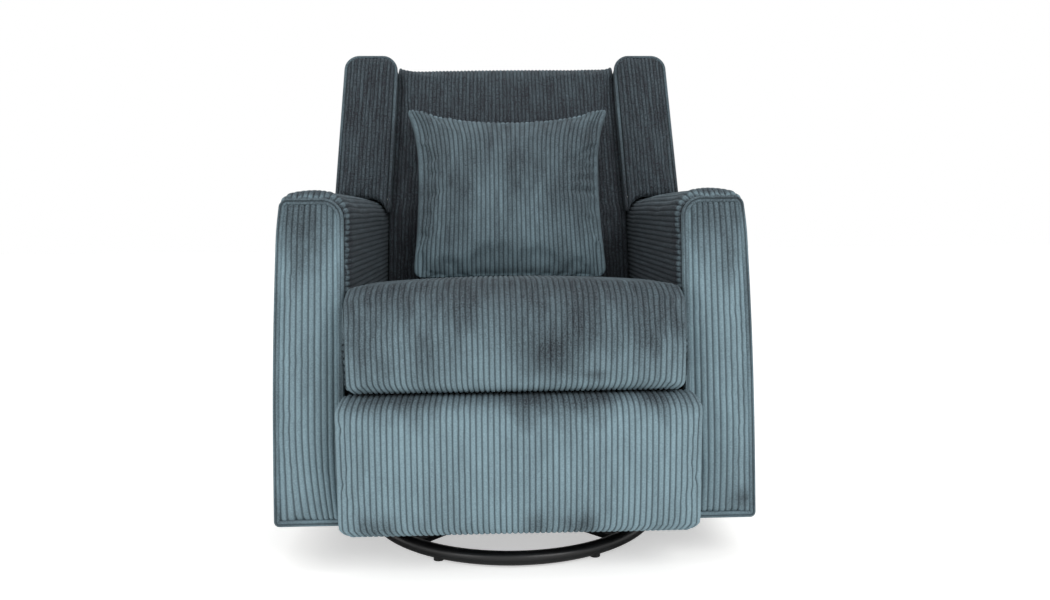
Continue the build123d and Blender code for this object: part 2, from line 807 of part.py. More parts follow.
# Footrest pad: a plain block with its long edges rounded
with BuildPart() as footrest_pad:
    pad_rear = footrest_pad_rear_y - 0.3
    with BuildSketch(side_plane(-footrest_half_width)):
        with Locations(((pad_rear + footrest_front_y) / 2, (footrest_top_z + footrest_bottom_z) / 2)):
            RectangleRounded(pad_rear - footrest_front_y, footrest_top_z - footrest_bottom_z, footrest_edge)
    extrude(amount=2 * footrest_half_width)
save(footrest_pad, "footrest_pad")

# Backrest: rails lapped on two stiles, hinged to the side plates
rail_rows = ((430.0, 50.0, wing_rail_reach), (245.0, 40.0, wing_rail_reach), (-72.5, 45.0, 222.0))
with BuildPart() as back_rails:
    with BuildSketch(back_plane.offset(-back_rail_front)):
        for height, width, reach in rail_rows:
            with Locations((0, height)):
                Rectangle(2 * reach, width)
    extrude(amount=-back_rail_thickness)
save(back_rails, "back_rails")

with BuildPart() as back_stile:
    with BuildSketch(back_plane.offset(-back_stile_front)):
        with Locations(((back_stile_inner + back_stile_outer) / 2, 180)):
            Rectangle(back_stile_outer - back_stile_inner, 550)
    extrude(amount=back_stile_front - back_stile_rear)
save_group(back_stile, "back_stiles")

with BuildPart() as hinge_bracket:
    knee = back_point(-70, 120)
    spans = [(back_pivot, knee), (knee, back_point(80, 120))]
    link_plate(spans, link_half_width, back_stile_outer, 4, [])
    with BuildSketch(side_plane(back_stile_outer)):
        with Locations(back_pivot):
            Circle(15)
    extrude(amount=4)
    with BuildSketch(side_plane(back_stile_outer)):
        with Locations(back_pivot):
            Circle(6 + running_gap)
    extrude(amount=4, mode=Mode.SUBTRACT)
save_group(hinge_bracket, "hinge_brackets")

back_spring_plane = back_plane.offset(spring_gap + spring_wire / 2 - back_rail_front)
with BuildPart() as back_spring_wire:
    with BuildLine(back_spring_plane) as back_wave:
        FilletPolyline(wave_points(-66, 484), radius=spring_pitch / 2 - 0.5)
    with BuildSketch(Plane(back_wave.line @ 0, z_dir=back_wave.line % 0)):
        Circle(spring_wire / 2)
    sweep(path=back_wave.line)

with BuildPart() as back_springs:
    with Locations([(place, 0, 0) for place in (-144, -48, 48, 144)]):
        add(back_spring_wire.part)
save(back_springs, "back_springs")

# Back cushion: crowned across, rolled over the frame at the top
with BuildPart() as back_cushion:
    foot = back_point(back_bottom, 0)
    cushion_plane = Plane(
        origin=(0, foot[0], foot[1]),
        x_dir=(1, 0, 0),
        z_dir=(0, sin(back_lean), cos(back_lean)),
    )
    with BuildSketch(cushion_plane):
        with BuildLine():
            Line((-back_half_width, back_rear), (back_half_width, back_rear))
            Line((back_half_width, back_rear), (back_half_width, 0))
            ThreePointArc((back_half_width, 0), (0, -back_crown), (-back_half_width, 0))
            Line((-back_half_width, 0), (-back_half_width, back_rear))
        make_face()
    extrude(amount=back_top - back_bottom)
    profile_plane = Plane(
        origin=(-300, back_face_y, back_ref_z),
        x_dir=(0, cos(back_lean), -sin(back_lean)),
        z_dir=(1, 0, 0),
    )
    with BuildSketch(profile_plane):
        with BuildLine():
            Line((back_depth, back_bottom), (back_depth, back_roll))
            Line((back_depth, back_roll), (back_rear, back_roll))
            Line((back_rear, back_roll), (back_rear, back_top - 14))
            ThreePointArc(
                (back_rear, back_top - 14),
                (back_rear - 4.1, back_top - 4.1),
                (back_rear - 14, back_top),
            )
            Line((back_rear - 14, back_top), (24, back_top))
            ThreePointArc((24, back_top), (-7, back_top - 13), (-back_crown - 1, back_top - 44))
            Line((-back_crown - 1, back_top - 44), (-back_crown - 1, back_bottom + 32))
            ThreePointArc(
                (-back_crown - 1, back_bottom + 32),
                (-9.5, back_bottom + 9.5),
                (13, back_bottom),
            )
            Line((13, back_bottom), (back_depth, back_bottom))
        make_face()
    extrude(amount=600, mode=Mode.INTERSECT)
    with BuildSketch(back_plane.offset(60)):
        with BuildLine():
            Polyline(
                (-back_half_width - 1, back_bottom - 20),
                (back_half_width + 1, back_bottom - 20),
                (back_half_width, wing_taper_start),
                (wing_inner_at(back_top + 20) - 0.3, back_top + 20),
                (0.3 - wing_inner_at(back_top + 20), back_top + 20),
                (-back_half_width, wing_taper_start),
                close=True,
            )
        make_face()
    extrude(amount=-200, mode=Mode.INTERSECT)
save(back_cushion, "back_cushion")

with BuildPart() as outer_back:
    with BuildSketch(back_plane.offset(-back_stile_rear - 0.3)):
        with Locations((0, (back_roll + outer_back_bottom) / 2 - 0.3)):
            RectangleRounded(2 * wing_inner_top - 4, back_roll - outer_back_bottom - 0.6, 10)
    extrude(amount=back_stile_rear + 0.3 - back_rear)
save(outer_back, "outer_back")

# Wings: stuffed side blocks above the arms, stepped in front for the welt
wing_base = 120.0
wing_slope = (wing_outer_bottom - wing_outer_top) / (wing_top - 188.0)
wing_base_outer = wing_outer_top + wing_slope * (wing_top - wing_base)
welt_step = 12.0
with BuildPart() as wing:
    for inset, front, rear in ((0.0, wing_front + welt_step, back_rear), (5.2, wing_front, wing_front + welt_step)):
        with BuildSketch(back_plane.offset(-front)):
            with BuildLine():
                Polyline(
                    (wing_inner + inset, wing_base),
                    (wing_inner + inset, wing_taper_start),
                    (wing_inner_top + inset, wing_top - inset),
                    (wing_outer_top - inset, wing_top - inset),
                    (wing_base_outer - inset, wing_base),
                    close=True,
                )
            make_face()
            fillet(vertices().group_by(Axis.Y)[-1], wing_corner - inset)
        extrude(amount=front - rear)
    with BuildSketch(back_plane.offset(0.3 - back_rail_front)):
        for height, width, reach in rail_rows[:2]:
            with Locations((0, height)):
                Rectangle(2 * reach + 0.6, width + 0.6)
    extrude(amount=-back_rail_thickness - 0.6, mode=Mode.SUBTRACT)
    # the underside follows the arm's rounded inner corner and ends in a short tip beside it
    corner_z = arm_top_z - arm_inner_corner
    under_radius = wing_bottom_z - corner_z
    tip_turn = acos((wing_tip_z - corner_z) / under_radius)
    for y in (100.0, 500.0):
        corner_x = arm_inner_at(y) + arm_inner_corner
        tip_x = corner_x - under_radius * sin(tip_turn)
        with BuildSketch(Plane.XZ.offset(-y)):
            with BuildLine():
                Line((wing_inner - 60, wing_tip_z), (tip_x, wing_tip_z))
                ThreePointArc(
                    (tip_x, wing_tip_z),
                    (
                        corner_x - under_radius * sin(tip_turn / 2),
                        corner_z + under_radius * cos(tip_turn / 2),
                    ),
                    (corner_x, wing_bottom_z),
                )
                Polyline(
                    (corner_x, wing_bottom_z),
                    (wing_base_outer + 60, wing_bottom_z),
                    (wing_base_outer + 60, wing_tip_z - 200),
                    (wing_inner - 60, wing_tip_z - 200),
                    (wing_inner - 60, wing_tip_z),
                )
            make_face()
    loft(mode=Mode.SUBTRACT)
save_pair(wing, "wing")

with BuildPart() as wing_welt:
    with BuildLine(back_plane.offset(welt_step / 2 - wing_front - welt_step)) as wing_path:
        FilletPolyline(
            (wing_inner_at(wing_base) + 0.3, wing_base + 60),
            (wing_inner_top + 0.3, wing_top - 0.3),
            (wing_outer_top - 0.3, wing_top - 0.3),
            (wing_base_outer - 0.3, wing_base),
            radius=wing_corner - 0.3,
        )
    with BuildSketch(Plane(wing_path.line @ 0, z_dir=wing_path.line % 0)):
        Circle(welt_radius)
    sweep(path=wing_path.line)
    split(bisect_by=Plane.XY.offset(wing_bottom_z), keep=Keep.TOP)
save_group(wing_welt, "wing_welts")

# Throw pillow: a crowned closed form whose sides pull in between the corners
pillow_plane = Plane(
    origin=pillow_centre,
    x_dir=(1, 0, 0),
    z_dir=(0, -cos(pillow_lean), sin(pillow_lean)),
)
pillow_half_rows = ((1.0, 0.3), (0.86, 0.52), (0.6, 0.74), (0.28, 0.92))
pillow_rows = [(-rise, size) for rise, size in pillow_half_rows]
pillow_rows += [(0.0, 1.0)]
pillow_rows += list(reversed(pillow_half_rows))
with BuildPart() as throw_pillow:
    for rise, size in pillow_rows:
        half_w = pillow_width / 2 * size
        half_h = pillow_height / 2 * size
        draw = pillow_draw_in * size
        with BuildSketch(pillow_plane.offset(rise * pillow_half_thickness)):
            with BuildLine():
                ThreePointArc((-half_w, -half_h), (0, draw - half_h), (half_w, -half_h))
                ThreePointArc((half_w, -half_h), (half_w - draw, 0), (half_w, half_h))
                ThreePointArc((half_w, half_h), (0, half_h - draw), (-half_w, half_h))
                ThreePointArc((-half_w, half_h), (draw - half_w, 0), (-half_w, -half_h))
            make_face()
    loft(ruled=True)
save(throw_pillow, "throw_pillow")
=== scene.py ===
import math

import bmesh
import bpy
import numpy as np
from mathutils import Matrix, Vector


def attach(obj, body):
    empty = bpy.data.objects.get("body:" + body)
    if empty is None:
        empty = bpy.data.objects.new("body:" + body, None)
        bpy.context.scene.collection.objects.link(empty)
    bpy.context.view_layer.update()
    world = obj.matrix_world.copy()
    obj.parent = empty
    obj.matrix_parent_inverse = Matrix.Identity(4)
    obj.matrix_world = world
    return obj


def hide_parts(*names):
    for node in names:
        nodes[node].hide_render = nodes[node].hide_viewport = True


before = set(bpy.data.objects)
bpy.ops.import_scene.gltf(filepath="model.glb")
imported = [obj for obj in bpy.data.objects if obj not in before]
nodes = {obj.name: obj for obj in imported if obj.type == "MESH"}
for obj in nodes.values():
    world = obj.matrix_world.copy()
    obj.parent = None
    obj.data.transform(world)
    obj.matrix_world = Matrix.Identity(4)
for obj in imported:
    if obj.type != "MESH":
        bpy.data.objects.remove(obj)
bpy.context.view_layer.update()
mm = 0.001
sides = ((-1, "Left"), (1, "Right"))
print("frame loaded,", len(nodes), "nodes")


def hexColour(text):
    # sRGB hex to the linear values that Blender mixes with
    parts = [int(text[i:i + 2], 16) / 255 for i in (1, 3, 5)]
    return [c / 12.92 if c <= 0.04045 else ((c + 0.055) / 1.055) ** 2.4 for c in parts] + [1.0]


def setInputs(tree, made, inputs):
    for key, value in inputs.items():
        if isinstance(value, bpy.types.NodeSocket):
            tree.links.new(value, made.inputs[key])
        else:
            made.inputs[key].default_value = value


def addNode(tree, kind, inputs=None, **settings):
    made = tree.nodes.new(kind)
    for key, value in settings.items():
        setattr(made, key, value)
    setInputs(tree, made, inputs or {})
    return made


def newMaterial(name):
    material = bpy.data.materials.new(name)
    material.use_nodes = True
    tree = material.node_tree
    return material, tree, tree.nodes["Principled BSDF"]


# Jumbo corduroy, polyester, woven with cut-pile ribs: soft round ribs, dark narrow grooves, and a nap
# that looks pale or dark as it is brushed; the pile is drawn coarser than real fibres, so that it shows.
# The pale and dark colours are lit and shaded copies of the cloth: each point's paleness value paints
# light and shade on it as well as its nap, and the dark in the grooves is painted shade
clothLook = {
    "pale": "#95B0BB", "dark": "#2B2C31", "grooveShadow": "#13171B", "sheenTint": "#A9BEC6", "sheen": 0.16,
    "grooveWidth": 0.27, "grooveShade": 0.64, "smudgeWales": 8.0, "smudgeStretch": 0.5, "smudgeShift": 25.0,
    "raggedWales": 5.0, "smudgeDark": 0.2, "smudgePale": 0.13, "streakWales": 1.0, "streakStretch": 0.12,
    "streak": 0.06, "pileMm": 2.2, "pile": 0.13, "pileBump": 0.35, "pileDeepMm": 1.2,
}


def makeCorduroy():
    material, tree, shader = newMaterial("jumboCorduroy")
    place = addNode(tree, "ShaderNodeTexCoord").outputs["Object"]
    spotX = addNode(tree, "ShaderNodeSeparateXYZ", {0: place}).outputs["X"]
    napAndShade = addNode(tree, "ShaderNodeAttribute", attribute_name="napAndShade").outputs["Fac"]
    wales = addNode(tree, "ShaderNodeUVMap", uv_map="wales").outputs["UV"]
    waleSpot = addNode(tree, "ShaderNodeSeparateXYZ", {0: wales}).outputs
    # how far a point is from the nearest groove, 0 in it and 0.5 on the rib's crest
    fromGroove = addNode(tree, "ShaderNodeMath", {
        0: waleSpot["X"], 1: 0.5}, operation="PINGPONG").outputs[0]
    # painted shade: the grooves are darkened towards a near-black colour, standing in for the shade down in
    # them
    grooveShadeShare = addNode(tree, "ShaderNodeMapRange", {
        "Value": fromGroove, "From Min": 0.0, "From Max": clothLook["grooveWidth"],
        "To Min": clothLook["grooveShade"], "To Max": 0.0}, interpolation_type="SMOOTHSTEP").outputs[0]
    # cloth that is dark or pale all over, from its nap and its painted light and shade, shows the smudges
    # less
    darkShare = addNode(tree, "ShaderNodeMapRange", {
        "Value": napAndShade, "From Min": 0.08, "From Max": 0.4, "To Min": 0.03, "To Max": 0.85}).outputs[0]
    paleShare = addNode(tree, "ShaderNodeMapRange", {
        "Value": napAndShade, "From Min": 0.5, "From Max": 0.75, "To Min": 1.0, "To Max": 0.5}).outputs[0]
    smudgeShare = addNode(tree, "ShaderNodeMath", {
        0: darkShare, 1: paleShare}, operation="MULTIPLY").outputs[0]
    # broad smudges where hands have brushed the pile the other way, with ragged ends from wale to wale
    waleNumber = addNode(tree, "ShaderNodeMath", {0: waleSpot["X"]}, operation="FLOOR").outputs[0]
    waleChance = addNode(tree, "ShaderNodeTexWhiteNoise", {
        "W": waleNumber}, noise_dimensions="1D").outputs["Value"]
    brushStart = addNode(tree, "ShaderNodeMath", {
        0: waleChance, 1: clothLook["raggedWales"], 2: waleSpot["Y"]}, operation="MULTIPLY_ADD").outputs[0]
    pieceShift = addNode(tree, "ShaderNodeMath", {
        0: spotX, 1: clothLook["smudgeShift"]}, operation="MULTIPLY").outputs[0]
    brushSpot = addNode(tree, "ShaderNodeCombineXYZ", {
        0: waleNumber, 1: brushStart, 2: pieceShift}).outputs[0]
    brushField = addNode(tree, "ShaderNodeMapping", {
        "Vector": brushSpot, "Scale": (1.0, clothLook["smudgeStretch"], 1.0)}).outputs[0]
    smudge = addNode(tree, "ShaderNodeTexNoise", {
        "Vector": brushField, "Scale": 1 / clothLook["smudgeWales"], "Detail": 3.0,
        "Roughness": 0.6}).outputs["Fac"]
    smudgeSwing = addNode(tree, "ShaderNodeMapRange", {
        "Value": smudge, "From Min": 0.36, "From Max": 0.62,
        "To Min": -clothLook["smudgeDark"], "To Max": clothLook["smudgePale"]}).outputs[0]
    smudgeAmount = addNode(tree, "ShaderNodeMath", {
        0: smudgeSwing, 1: smudgeShare}, operation="MULTIPLY").outputs[0]
    # each rib is a little paler or darker along its length
    streakSpot = addNode(tree, "ShaderNodeMapping", {
        "Vector": wales, "Scale": (1.0, clothLook["streakStretch"], 1.0)}).outputs[0]
    streak = addNode(tree, "ShaderNodeTexNoise", {
        "Vector": streakSpot, "Scale": 1 / clothLook["streakWales"], "Detail": 2.0}).outputs["Fac"]
    streakAmount = addNode(tree, "ShaderNodeMapRange", {
        "Value": streak, "From Min": 0.3, "From Max": 0.7,
        "To Min": -clothLook["streak"], "To Max": clothLook["streak"]}).outputs[0]
    pile = addNode(tree, "ShaderNodeTexNoise", {
        "Vector": place, "Scale": 1000 / clothLook["pileMm"], "Detail": 2.0}).outputs["Fac"]
    pileAmount = addNode(tree, "ShaderNodeMapRange", {
        "Value": pile, "From Min": 0.3, "From Max": 0.7,
        "To Min": -clothLook["pile"], "To Max": clothLook["pile"]}).outputs[0]
    brushedAndShaded = addNode(tree, "ShaderNodeMath", {0: napAndShade, 1: smudgeAmount}, operation="ADD").outputs[0]
    streaked = addNode(tree, "ShaderNodeMath", {0: brushedAndShaded, 1: streakAmount}, operation="ADD").outputs[0]
    paleness = addNode(tree, "ShaderNodeMath", {
        0: streaked, 1: pileAmount}, operation="ADD", use_clamp=True).outputs[0]
    # painted light and shade: the dark and pale colours are shaded and lit copies of the cloth, mixed by each
    # point's paleness with its smudges, streaks and pile
    ribColour = addNode(tree, "ShaderNodeMix", {
        0: paleness, 6: hexColour(clothLook["dark"]), 7: hexColour(clothLook["pale"])},
        data_type="RGBA").outputs[2]
    colour = addNode(tree, "ShaderNodeMix", {
        0: grooveShadeShare, 6: ribColour, 7: hexColour(clothLook["grooveShadow"])}, data_type="RGBA").outputs[2]
    bump = addNode(tree, "ShaderNodeBump", {
        "Height": pile, "Strength": clothLook["pileBump"],
        "Distance": clothLook["pileDeepMm"] * mm}).outputs[0]
    setInputs(tree, shader, {
        "Base Color": colour, "Normal": bump, "Roughness": 0.92, "Specular IOR Level": 0.2,
        "Sheen Weight": clothLook["sheen"], "Sheen Roughness": 0.45,
        "Sheen Tint": hexColour(clothLook["sheenTint"])})
    return material


jumboCorduroy = makeCorduroy()
print("corduroy woven")

# The weave's real sizes in millimetres, and how finely it is drawn
weave = {
    "pitch": 9.3, "ribHeight": 2.3, "ribRound": 0.7, "ribSink": 0.6, "ribSteps": 6, "seamFade": 7.0,
    "runStep": 13.0, "arcStep": 4.0, "joinWithin": 0.05,
}
sewnAll = (1, 1, 1, 1)  # the first and last row, and the first and last column
sewnNone = (0, 0, 0, 0)


def ramp(value, start, end):
    # 0 up to start, rising to 1 at end
    return np.clip((value - start) / (end - start), 0, 1)


def rollOver(distance, radius):
    # how far a rounded edge has dropped at this distance from its rim
    inset = np.clip(1 - distance / radius, 0, 1)
    return radius * (1 - np.sqrt(1 - inset ** 2))


def always(value):
    # a border that stays in one place
    return lambda along: np.full_like(along, value)


def brushedSpots(points, spots):
    # soft dark spots in the nap, each with its x and z, its reach in x and in z, and its depth
    x, z = points[:, :, 0], points[:, :, 2]
    return sum(depth * np.exp(-((x - spotX) / wide) ** 2 - ((z - spotZ) / tall) ** 2)
               for spotX, spotZ, wide, tall, depth in spots)


def roundedPath(corners, closed=False):
    # a cutting line: straight runs with rounded corners, its points closer together on the bends
    count = len(corners)
    bends = []
    for i, (p, q, radius) in enumerate(corners):
        here = np.array((p, q), float)
        if radius <= 0 or (not closed and i in (0, count - 1)):
            bends.append(here)
            continue
        before = np.array(corners[i - 1][:2], float) - here
        after = np.array(corners[(i + 1) % count][:2], float) - here
        before /= np.linalg.norm(before)
        after /= np.linalg.norm(after)
        half = 0.5 * math.acos(max(-1.0, min(1.0, float(before @ after))))
        inward = (before + after) / np.linalg.norm(before + after)
        centre = here + inward * radius / math.sin(half)
        turn = math.pi - 2 * half
        steps = max(2, math.ceil(turn * radius / weave["arcStep"]))
        start = here + before * radius / math.tan(half) - centre
        end = here + after * radius / math.tan(half) - centre
        for k in range(steps + 1):
            share = k / steps
            bends.append(centre + (math.sin((1 - share) * turn) * start
                                   + math.sin(share * turn) * end) / math.sin(turn))
    if closed:
        bends.append(bends[0])
    points = [bends[0]]
    for a, b in zip(bends, bends[1:]):
        pieces = max(1, math.ceil(np.linalg.norm(b - a) / weave["runStep"]))
        points += [a + (b - a) * k / pieces for k in range(1, pieces + 1)]
    return np.array(points)


def pathNormals(path, closed):
    ahead = np.roll(path, -1, axis=0)
    behind = np.roll(path, 1, axis=0)
    if closed:
        ahead[-1] = path[1]
        behind[0] = path[-2]
    else:
        ahead[-1] = path[-1]
        behind[0] = path[0]
    along = ahead - behind
    along /= np.linalg.norm(along, axis=1, keepdims=True)
    normals = np.stack((along[:, 1], -along[:, 0]), axis=1)
    if np.sum((path - path.mean(axis=0)) * normals) < 0:
        normals = -normals
    return normals


def lengthAlong(points, axis):
    steps = np.linalg.norm(np.diff(points, axis=axis), axis=2)
    shape = list(steps.shape)
    shape[axis] = 1
    return np.concatenate((np.zeros(shape), np.cumsum(steps, axis=axis)), axis=axis)


def sheetNormals(points):
    normals = np.cross(np.gradient(points, axis=1), np.gradient(points, axis=0))
    size = np.linalg.norm(normals, axis=2, keepdims=True)
    return normals / np.maximum(size, 1e-9)


def gridMesh(points, flip, wales=None, napAndShade=None):
    rows, columns = points.shape[:2]
    bm = bmesh.new()
    bmesh.ops.create_grid(bm, x_segments=columns - 1, y_segments=rows - 1, size=0.5)
    if flip:
        bmesh.ops.reverse_faces(bm, faces=bm.faces[:])
    for face in bm.faces:
        face.smooth = True
    mesh = bpy.data.meshes.new("sheet")
    bm.to_mesh(mesh)
    bm.free()
    mesh.vertices.foreach_set("co", (points * mm).astype(np.float32).ravel())
    if wales is not None:
        corners = np.zeros(len(mesh.loops), np.int32)
        mesh.loops.foreach_get("vertex_index", corners)
        layer = mesh.uv_layers.new(name="wales")
        layer.data.foreach_set("uv", wales.reshape(-1, 2)[corners].astype(np.float32).ravel())
        paleness = mesh.attributes.new("napAndShade", "FLOAT", "POINT")
        paleness.data.foreach_set("value", napAndShade.astype(np.float32).ravel())
    mesh.update()
    return mesh


# Cloth simulation: the sheet swells between its seams, with some slack for puckers
puffing = {
    "frames": 16, "quality": 5, "pressure": 4.0, "slack": 0.02, "mass": 0.3, "stiff": 15.0, "bending": 0.6,
}


def puff(points, flip, held, slack, cap):
    scene = bpy.context.scene
    sheet = bpy.data.objects.new("clothSheet", gridMesh(points, flip))
    scene.collection.objects.link(sheet)
    seams = sheet.vertex_groups.new(name="seams")
    seams.add([int(i) for i in np.flatnonzero(held.ravel())], 1.0, "REPLACE")
    cloth = sheet.modifiers.new("cloth", "CLOTH")
    cloth.point_cache.frame_end = puffing["frames"]
    settings = cloth.settings
    settings.quality = puffing["quality"]
    settings.mass = puffing["mass"]
    settings.tension_stiffness = puffing["stiff"]
    settings.compression_stiffness = puffing["stiff"]
    settings.bending_stiffness = puffing["bending"]
    settings.vertex_group_mass = "seams"
    settings.use_pressure = True
    settings.uniform_pressure_force = puffing["pressure"]
    settings.shrink_min = -slack
    settings.effector_weights.gravity = 0
    cloth.collision_settings.use_collision = False
    for step in range(1, puffing["frames"] + 1):
        scene.frame_set(step)
    settled = sheet.evaluated_get(bpy.context.evaluated_depsgraph_get())
    flat = np.zeros(len(settled.data.vertices) * 3, np.float32)
    settled.data.vertices.foreach_get("co", flat)
    moved = flat.reshape(points.shape) / mm - points
    size = np.linalg.norm(moved, axis=2, keepdims=True)
    print("  puffed", points.shape[:2], "by up to %.1f mm" % size.max())
    moved *= cap * np.tanh(size / cap) / np.maximum(size, 1e-9)
    mesh = sheet.data
    bpy.data.objects.remove(sheet)
    bpy.data.meshes.remove(mesh)
    scene.frame_set(1)
    return moved


def tailor(shape, width, core, napAndShade, cap=0.0, slack=puffing["slack"], hold=None, ribs=1.0, endEdge=0.0,
           seams=sewnAll, pitch=weave["pitch"]):
    # one cut of corduroy: shape gives its rows at places across the wales, from 0 to 1
    count = max(2, round(width / pitch))
    across = np.linspace(0, 1, count * weave["ribSteps"] + 1)
    if endEdge > 0:
        # the edges that roll over at the sides are drawn more finely, by steps of their angle
        bend = (1 - np.sin(np.radians(np.arange(40, 90, 7)))) * endEdge / width
        across = np.unique(np.concatenate((across, bend, 1 - bend)))
    points = shape(across)
    normals = sheetNormals(points)
    flip = bool(np.sum((points - np.array(core)) * normals) < 0)
    if cap > 0:
        coarseAcross = np.linspace(0, 1, count + 1)
        coarse = shape(coarseAcross)
        held = np.zeros(coarse.shape[:2], bool)
        held[0] = held[-1] = True
        held[:, 0] = held[:, -1] = True
        if hold is not None:
            held |= hold(coarse)
        moved = puff(coarse, flip, held, slack, cap)
        left = np.clip(np.searchsorted(coarseAcross, across, side="right") - 1, 0, count - 1)
        part = (across * count - left)[None, :, None]
        points = points + moved[:, left] * (1 - part) + moved[:, left + 1] * part
        normals = sheetNormals(points)
    if flip:
        normals = -normals
    rowLength = lengthAlong(points, 0)
    columnLength = lengthAlong(points, 1)
    fade = np.ones(points.shape[:2])
    borders = (rowLength, rowLength[-1:] - rowLength, columnLength, columnLength[:, -1:] - columnLength)
    for distance, sewn in zip(borders, seams):
        if sewn:
            fade *= ramp(distance, 0, weave["seamFade"])
    phase = across * count
    rib = np.abs(np.sin(np.pi * phase)) ** weave["ribRound"] - weave["ribSink"]
    points = points + normals * (rib[None, :] * fade * weave["ribHeight"] * ribs)[:, :, None]
    wales = np.stack((np.broadcast_to(phase, points.shape[:2]), rowLength / weave["pitch"]), axis=2)
    # the paleness values paint light and shade on the cut as well as its nap
    paleness = napAndShade(points) if callable(napAndShade) else np.full(points.shape[:2], float(napAndShade))
    return gridMesh(points, flip, wales, paleness)


def sew(name, cuts, body, replaced, fill):
    # the cuts of one piece are joined where their borders meet
    bm = bmesh.new()
    for cut in cuts:
        bm.from_mesh(cut)
    bmesh.ops.remove_doubles(bm, verts=bm.verts[:], dist=weave["joinWithin"] * mm)
    bmesh.ops.dissolve_degenerate(bm, edges=bm.edges[:], dist=0.01 * mm)
    mesh = bpy.data.meshes.new(name)
    bm.to_mesh(mesh)
    bm.free()
    for cut in cuts:
        bpy.data.meshes.remove(cut)
    piece = bpy.data.objects.new(name, mesh)
    bpy.context.scene.collection.objects.link(piece)
    mesh.materials.append(jumboCorduroy)
    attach(piece, body)
    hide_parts(*replaced)
    print("sewn", name, len(mesh.polygons), "faces")


def wrapShape(path, place, halfWidth, lift, edge):
    # a cover wound round a pad whose section is the closed path; its side edges roll over by edge
    normals = pathNormals(path, True)

    def shape(across):
        half = halfWidth(path)[:, None]
        x = (2 * across[None, :] - 1) * half
        rise = lift(path, normals, x / half) - rollOver(half - np.abs(x), edge)
        p = path[:, None, 0] + normals[:, None, 0] * rise
        q = path[:, None, 1] + normals[:, None, 1] * rise
        y, z = place(p, q)
        return np.stack((np.broadcast_to(x, p.shape), y, z), axis=2)

    return shape


def endCaps(shape, pad):
    # the boxing that closes each side of a wrapped pad, drawn in towards its middle line
    caps = []
    start, end = (np.array(spot) for spot in pad["spine"])
    for share, side in ((0.0, -1.0), (1.0, 1.0)):
        rim = shape(np.array((share,)))[:, 0]
        along = np.clip(((rim[:, 1:] - start) @ (end - start)) / ((end - start) @ (end - start)), 0, 1)
        spine = rim.copy()
        spine[:, 1:] = start + along[:, None] * (end - start)

        def capShape(across, rim=rim, spine=spine, side=side):
            points = rim[:, None] + (spine - rim)[:, None] * across[None, :, None]
            points[:, :, 0] += side * pad["capBulge"] * np.sin(across * np.pi / 2)[None, :]
            return points

        caps.append(tailor(capShape, pad["capWidth"], pad["core"], pad["capNapAndShade"], ribs=0.7,
                           seams=(0, 0, 1, 0)))
    return caps


def sewPad(name, pad, shape, napAndShade, held, body, node):
    # a pad is one wrapped cut and the boxing at its two sides
    wrap = tailor(shape, pad["width"], pad["core"], napAndShade, cap=pad["cap"], hold=held, endEdge=pad["edge"],
                  seams=sewnNone, pitch=pad["pitch"])
    sew(name, [wrap] + endCaps(shape, pad), body, [node], fill=pad["fill"])


def standing(p, q):
    # a section that stands upright in the frame as it is
    return p, q


# Seat cushion: wales run from the back, over a high crest and down the front like a waterfall
seat = {
    "stations": (-317.0, -262.0, 220.0), "halves": (269.0, 278.5, 263.0), "width": 556, "edge": 7.0,
    "pitch": 8.95, "cap": 4.0, "fill": 0.75, "core": (0, -60, 390), "spine": ((120, 385), (-270, 380)),
    "capWidth": 60, "capNapAndShade": 0.3, "capBulge": 3.0, "crown": 12.0, "crownRun": (140.0, -80.0),
    "crownLeast": 0.2, "frontY": -280.0, "frontSwell": 5.0, "pinch": 11.0, "pinchRun": (326.0, 306.0),
    "underZ": 340.0, "lipY": -300.0, "rearY": 180.0, "napAndShade": 0.14, "paleFront": 0.5, "paleRun": (470.0, 320.0),
    "paleAheadOfY": -150.0,
    "brushedAndShaded": ((38, 368, 42, 30, 0.24), (125, 333, 28, 6, 0.35), (120, 390, 80, 28, 0.1)),
}
seatLoop = roundedPath([
    (152, 338.5, 12), (184, 436, 22), (0, 449, 500), (-120, 459, 300), (-230, 464, 75), (-292, 434, 60),
    (-312, 392, 90), (-316, 345, 60), (-316, 306, 17), (-268.5, 306, 6), (-268.5, 338.5, 4),
], True)


def seatHalf(path):
    # the lower front corners are pinched in
    pinch = ramp(path[:, 1], *seat["pinchRun"]) ** 2 * (path[:, 0] < seat["frontY"])
    return np.interp(path[:, 0], seat["stations"], seat["halves"]) - seat["pinch"] * pinch


def seatLift(path, normals, side):
    top = np.clip(normals[:, 1], 0, 1) * np.maximum(ramp(path[:, 0], *seat["crownRun"]), seat["crownLeast"])
    front = np.clip(-normals[:, 0], 0, 1) * (path[:, 0] < seat["frontY"])
    return (top * seat["crown"] + front * seat["frontSwell"])[:, None] * (1 - side ** 2)


def seatNapAndShade(points):
    # paler down the front; this paints light and shade as well as the nap
    down = ramp(points[:, :, 2], *seat["paleRun"]) * (points[:, :, 1] < seat["paleAheadOfY"])
    return seat["napAndShade"] + seat["paleFront"] * down - brushedSpots(points, seat["brushedAndShaded"])


def seatHeld(points):
    # the underside and the rear end keep their shape
    y, z = points[:, :, 1], points[:, :, 2]
    return (z < seat["underZ"]) & (y > seat["lipY"]) | (y > seat["rearY"])


seatShape = wrapShape(seatLoop, standing, seatHalf, seatLift, seat["edge"])
sewPad("seatCushion", seat, seatShape, seatNapAndShade, seatHeld, "chair", "seat_cushion")

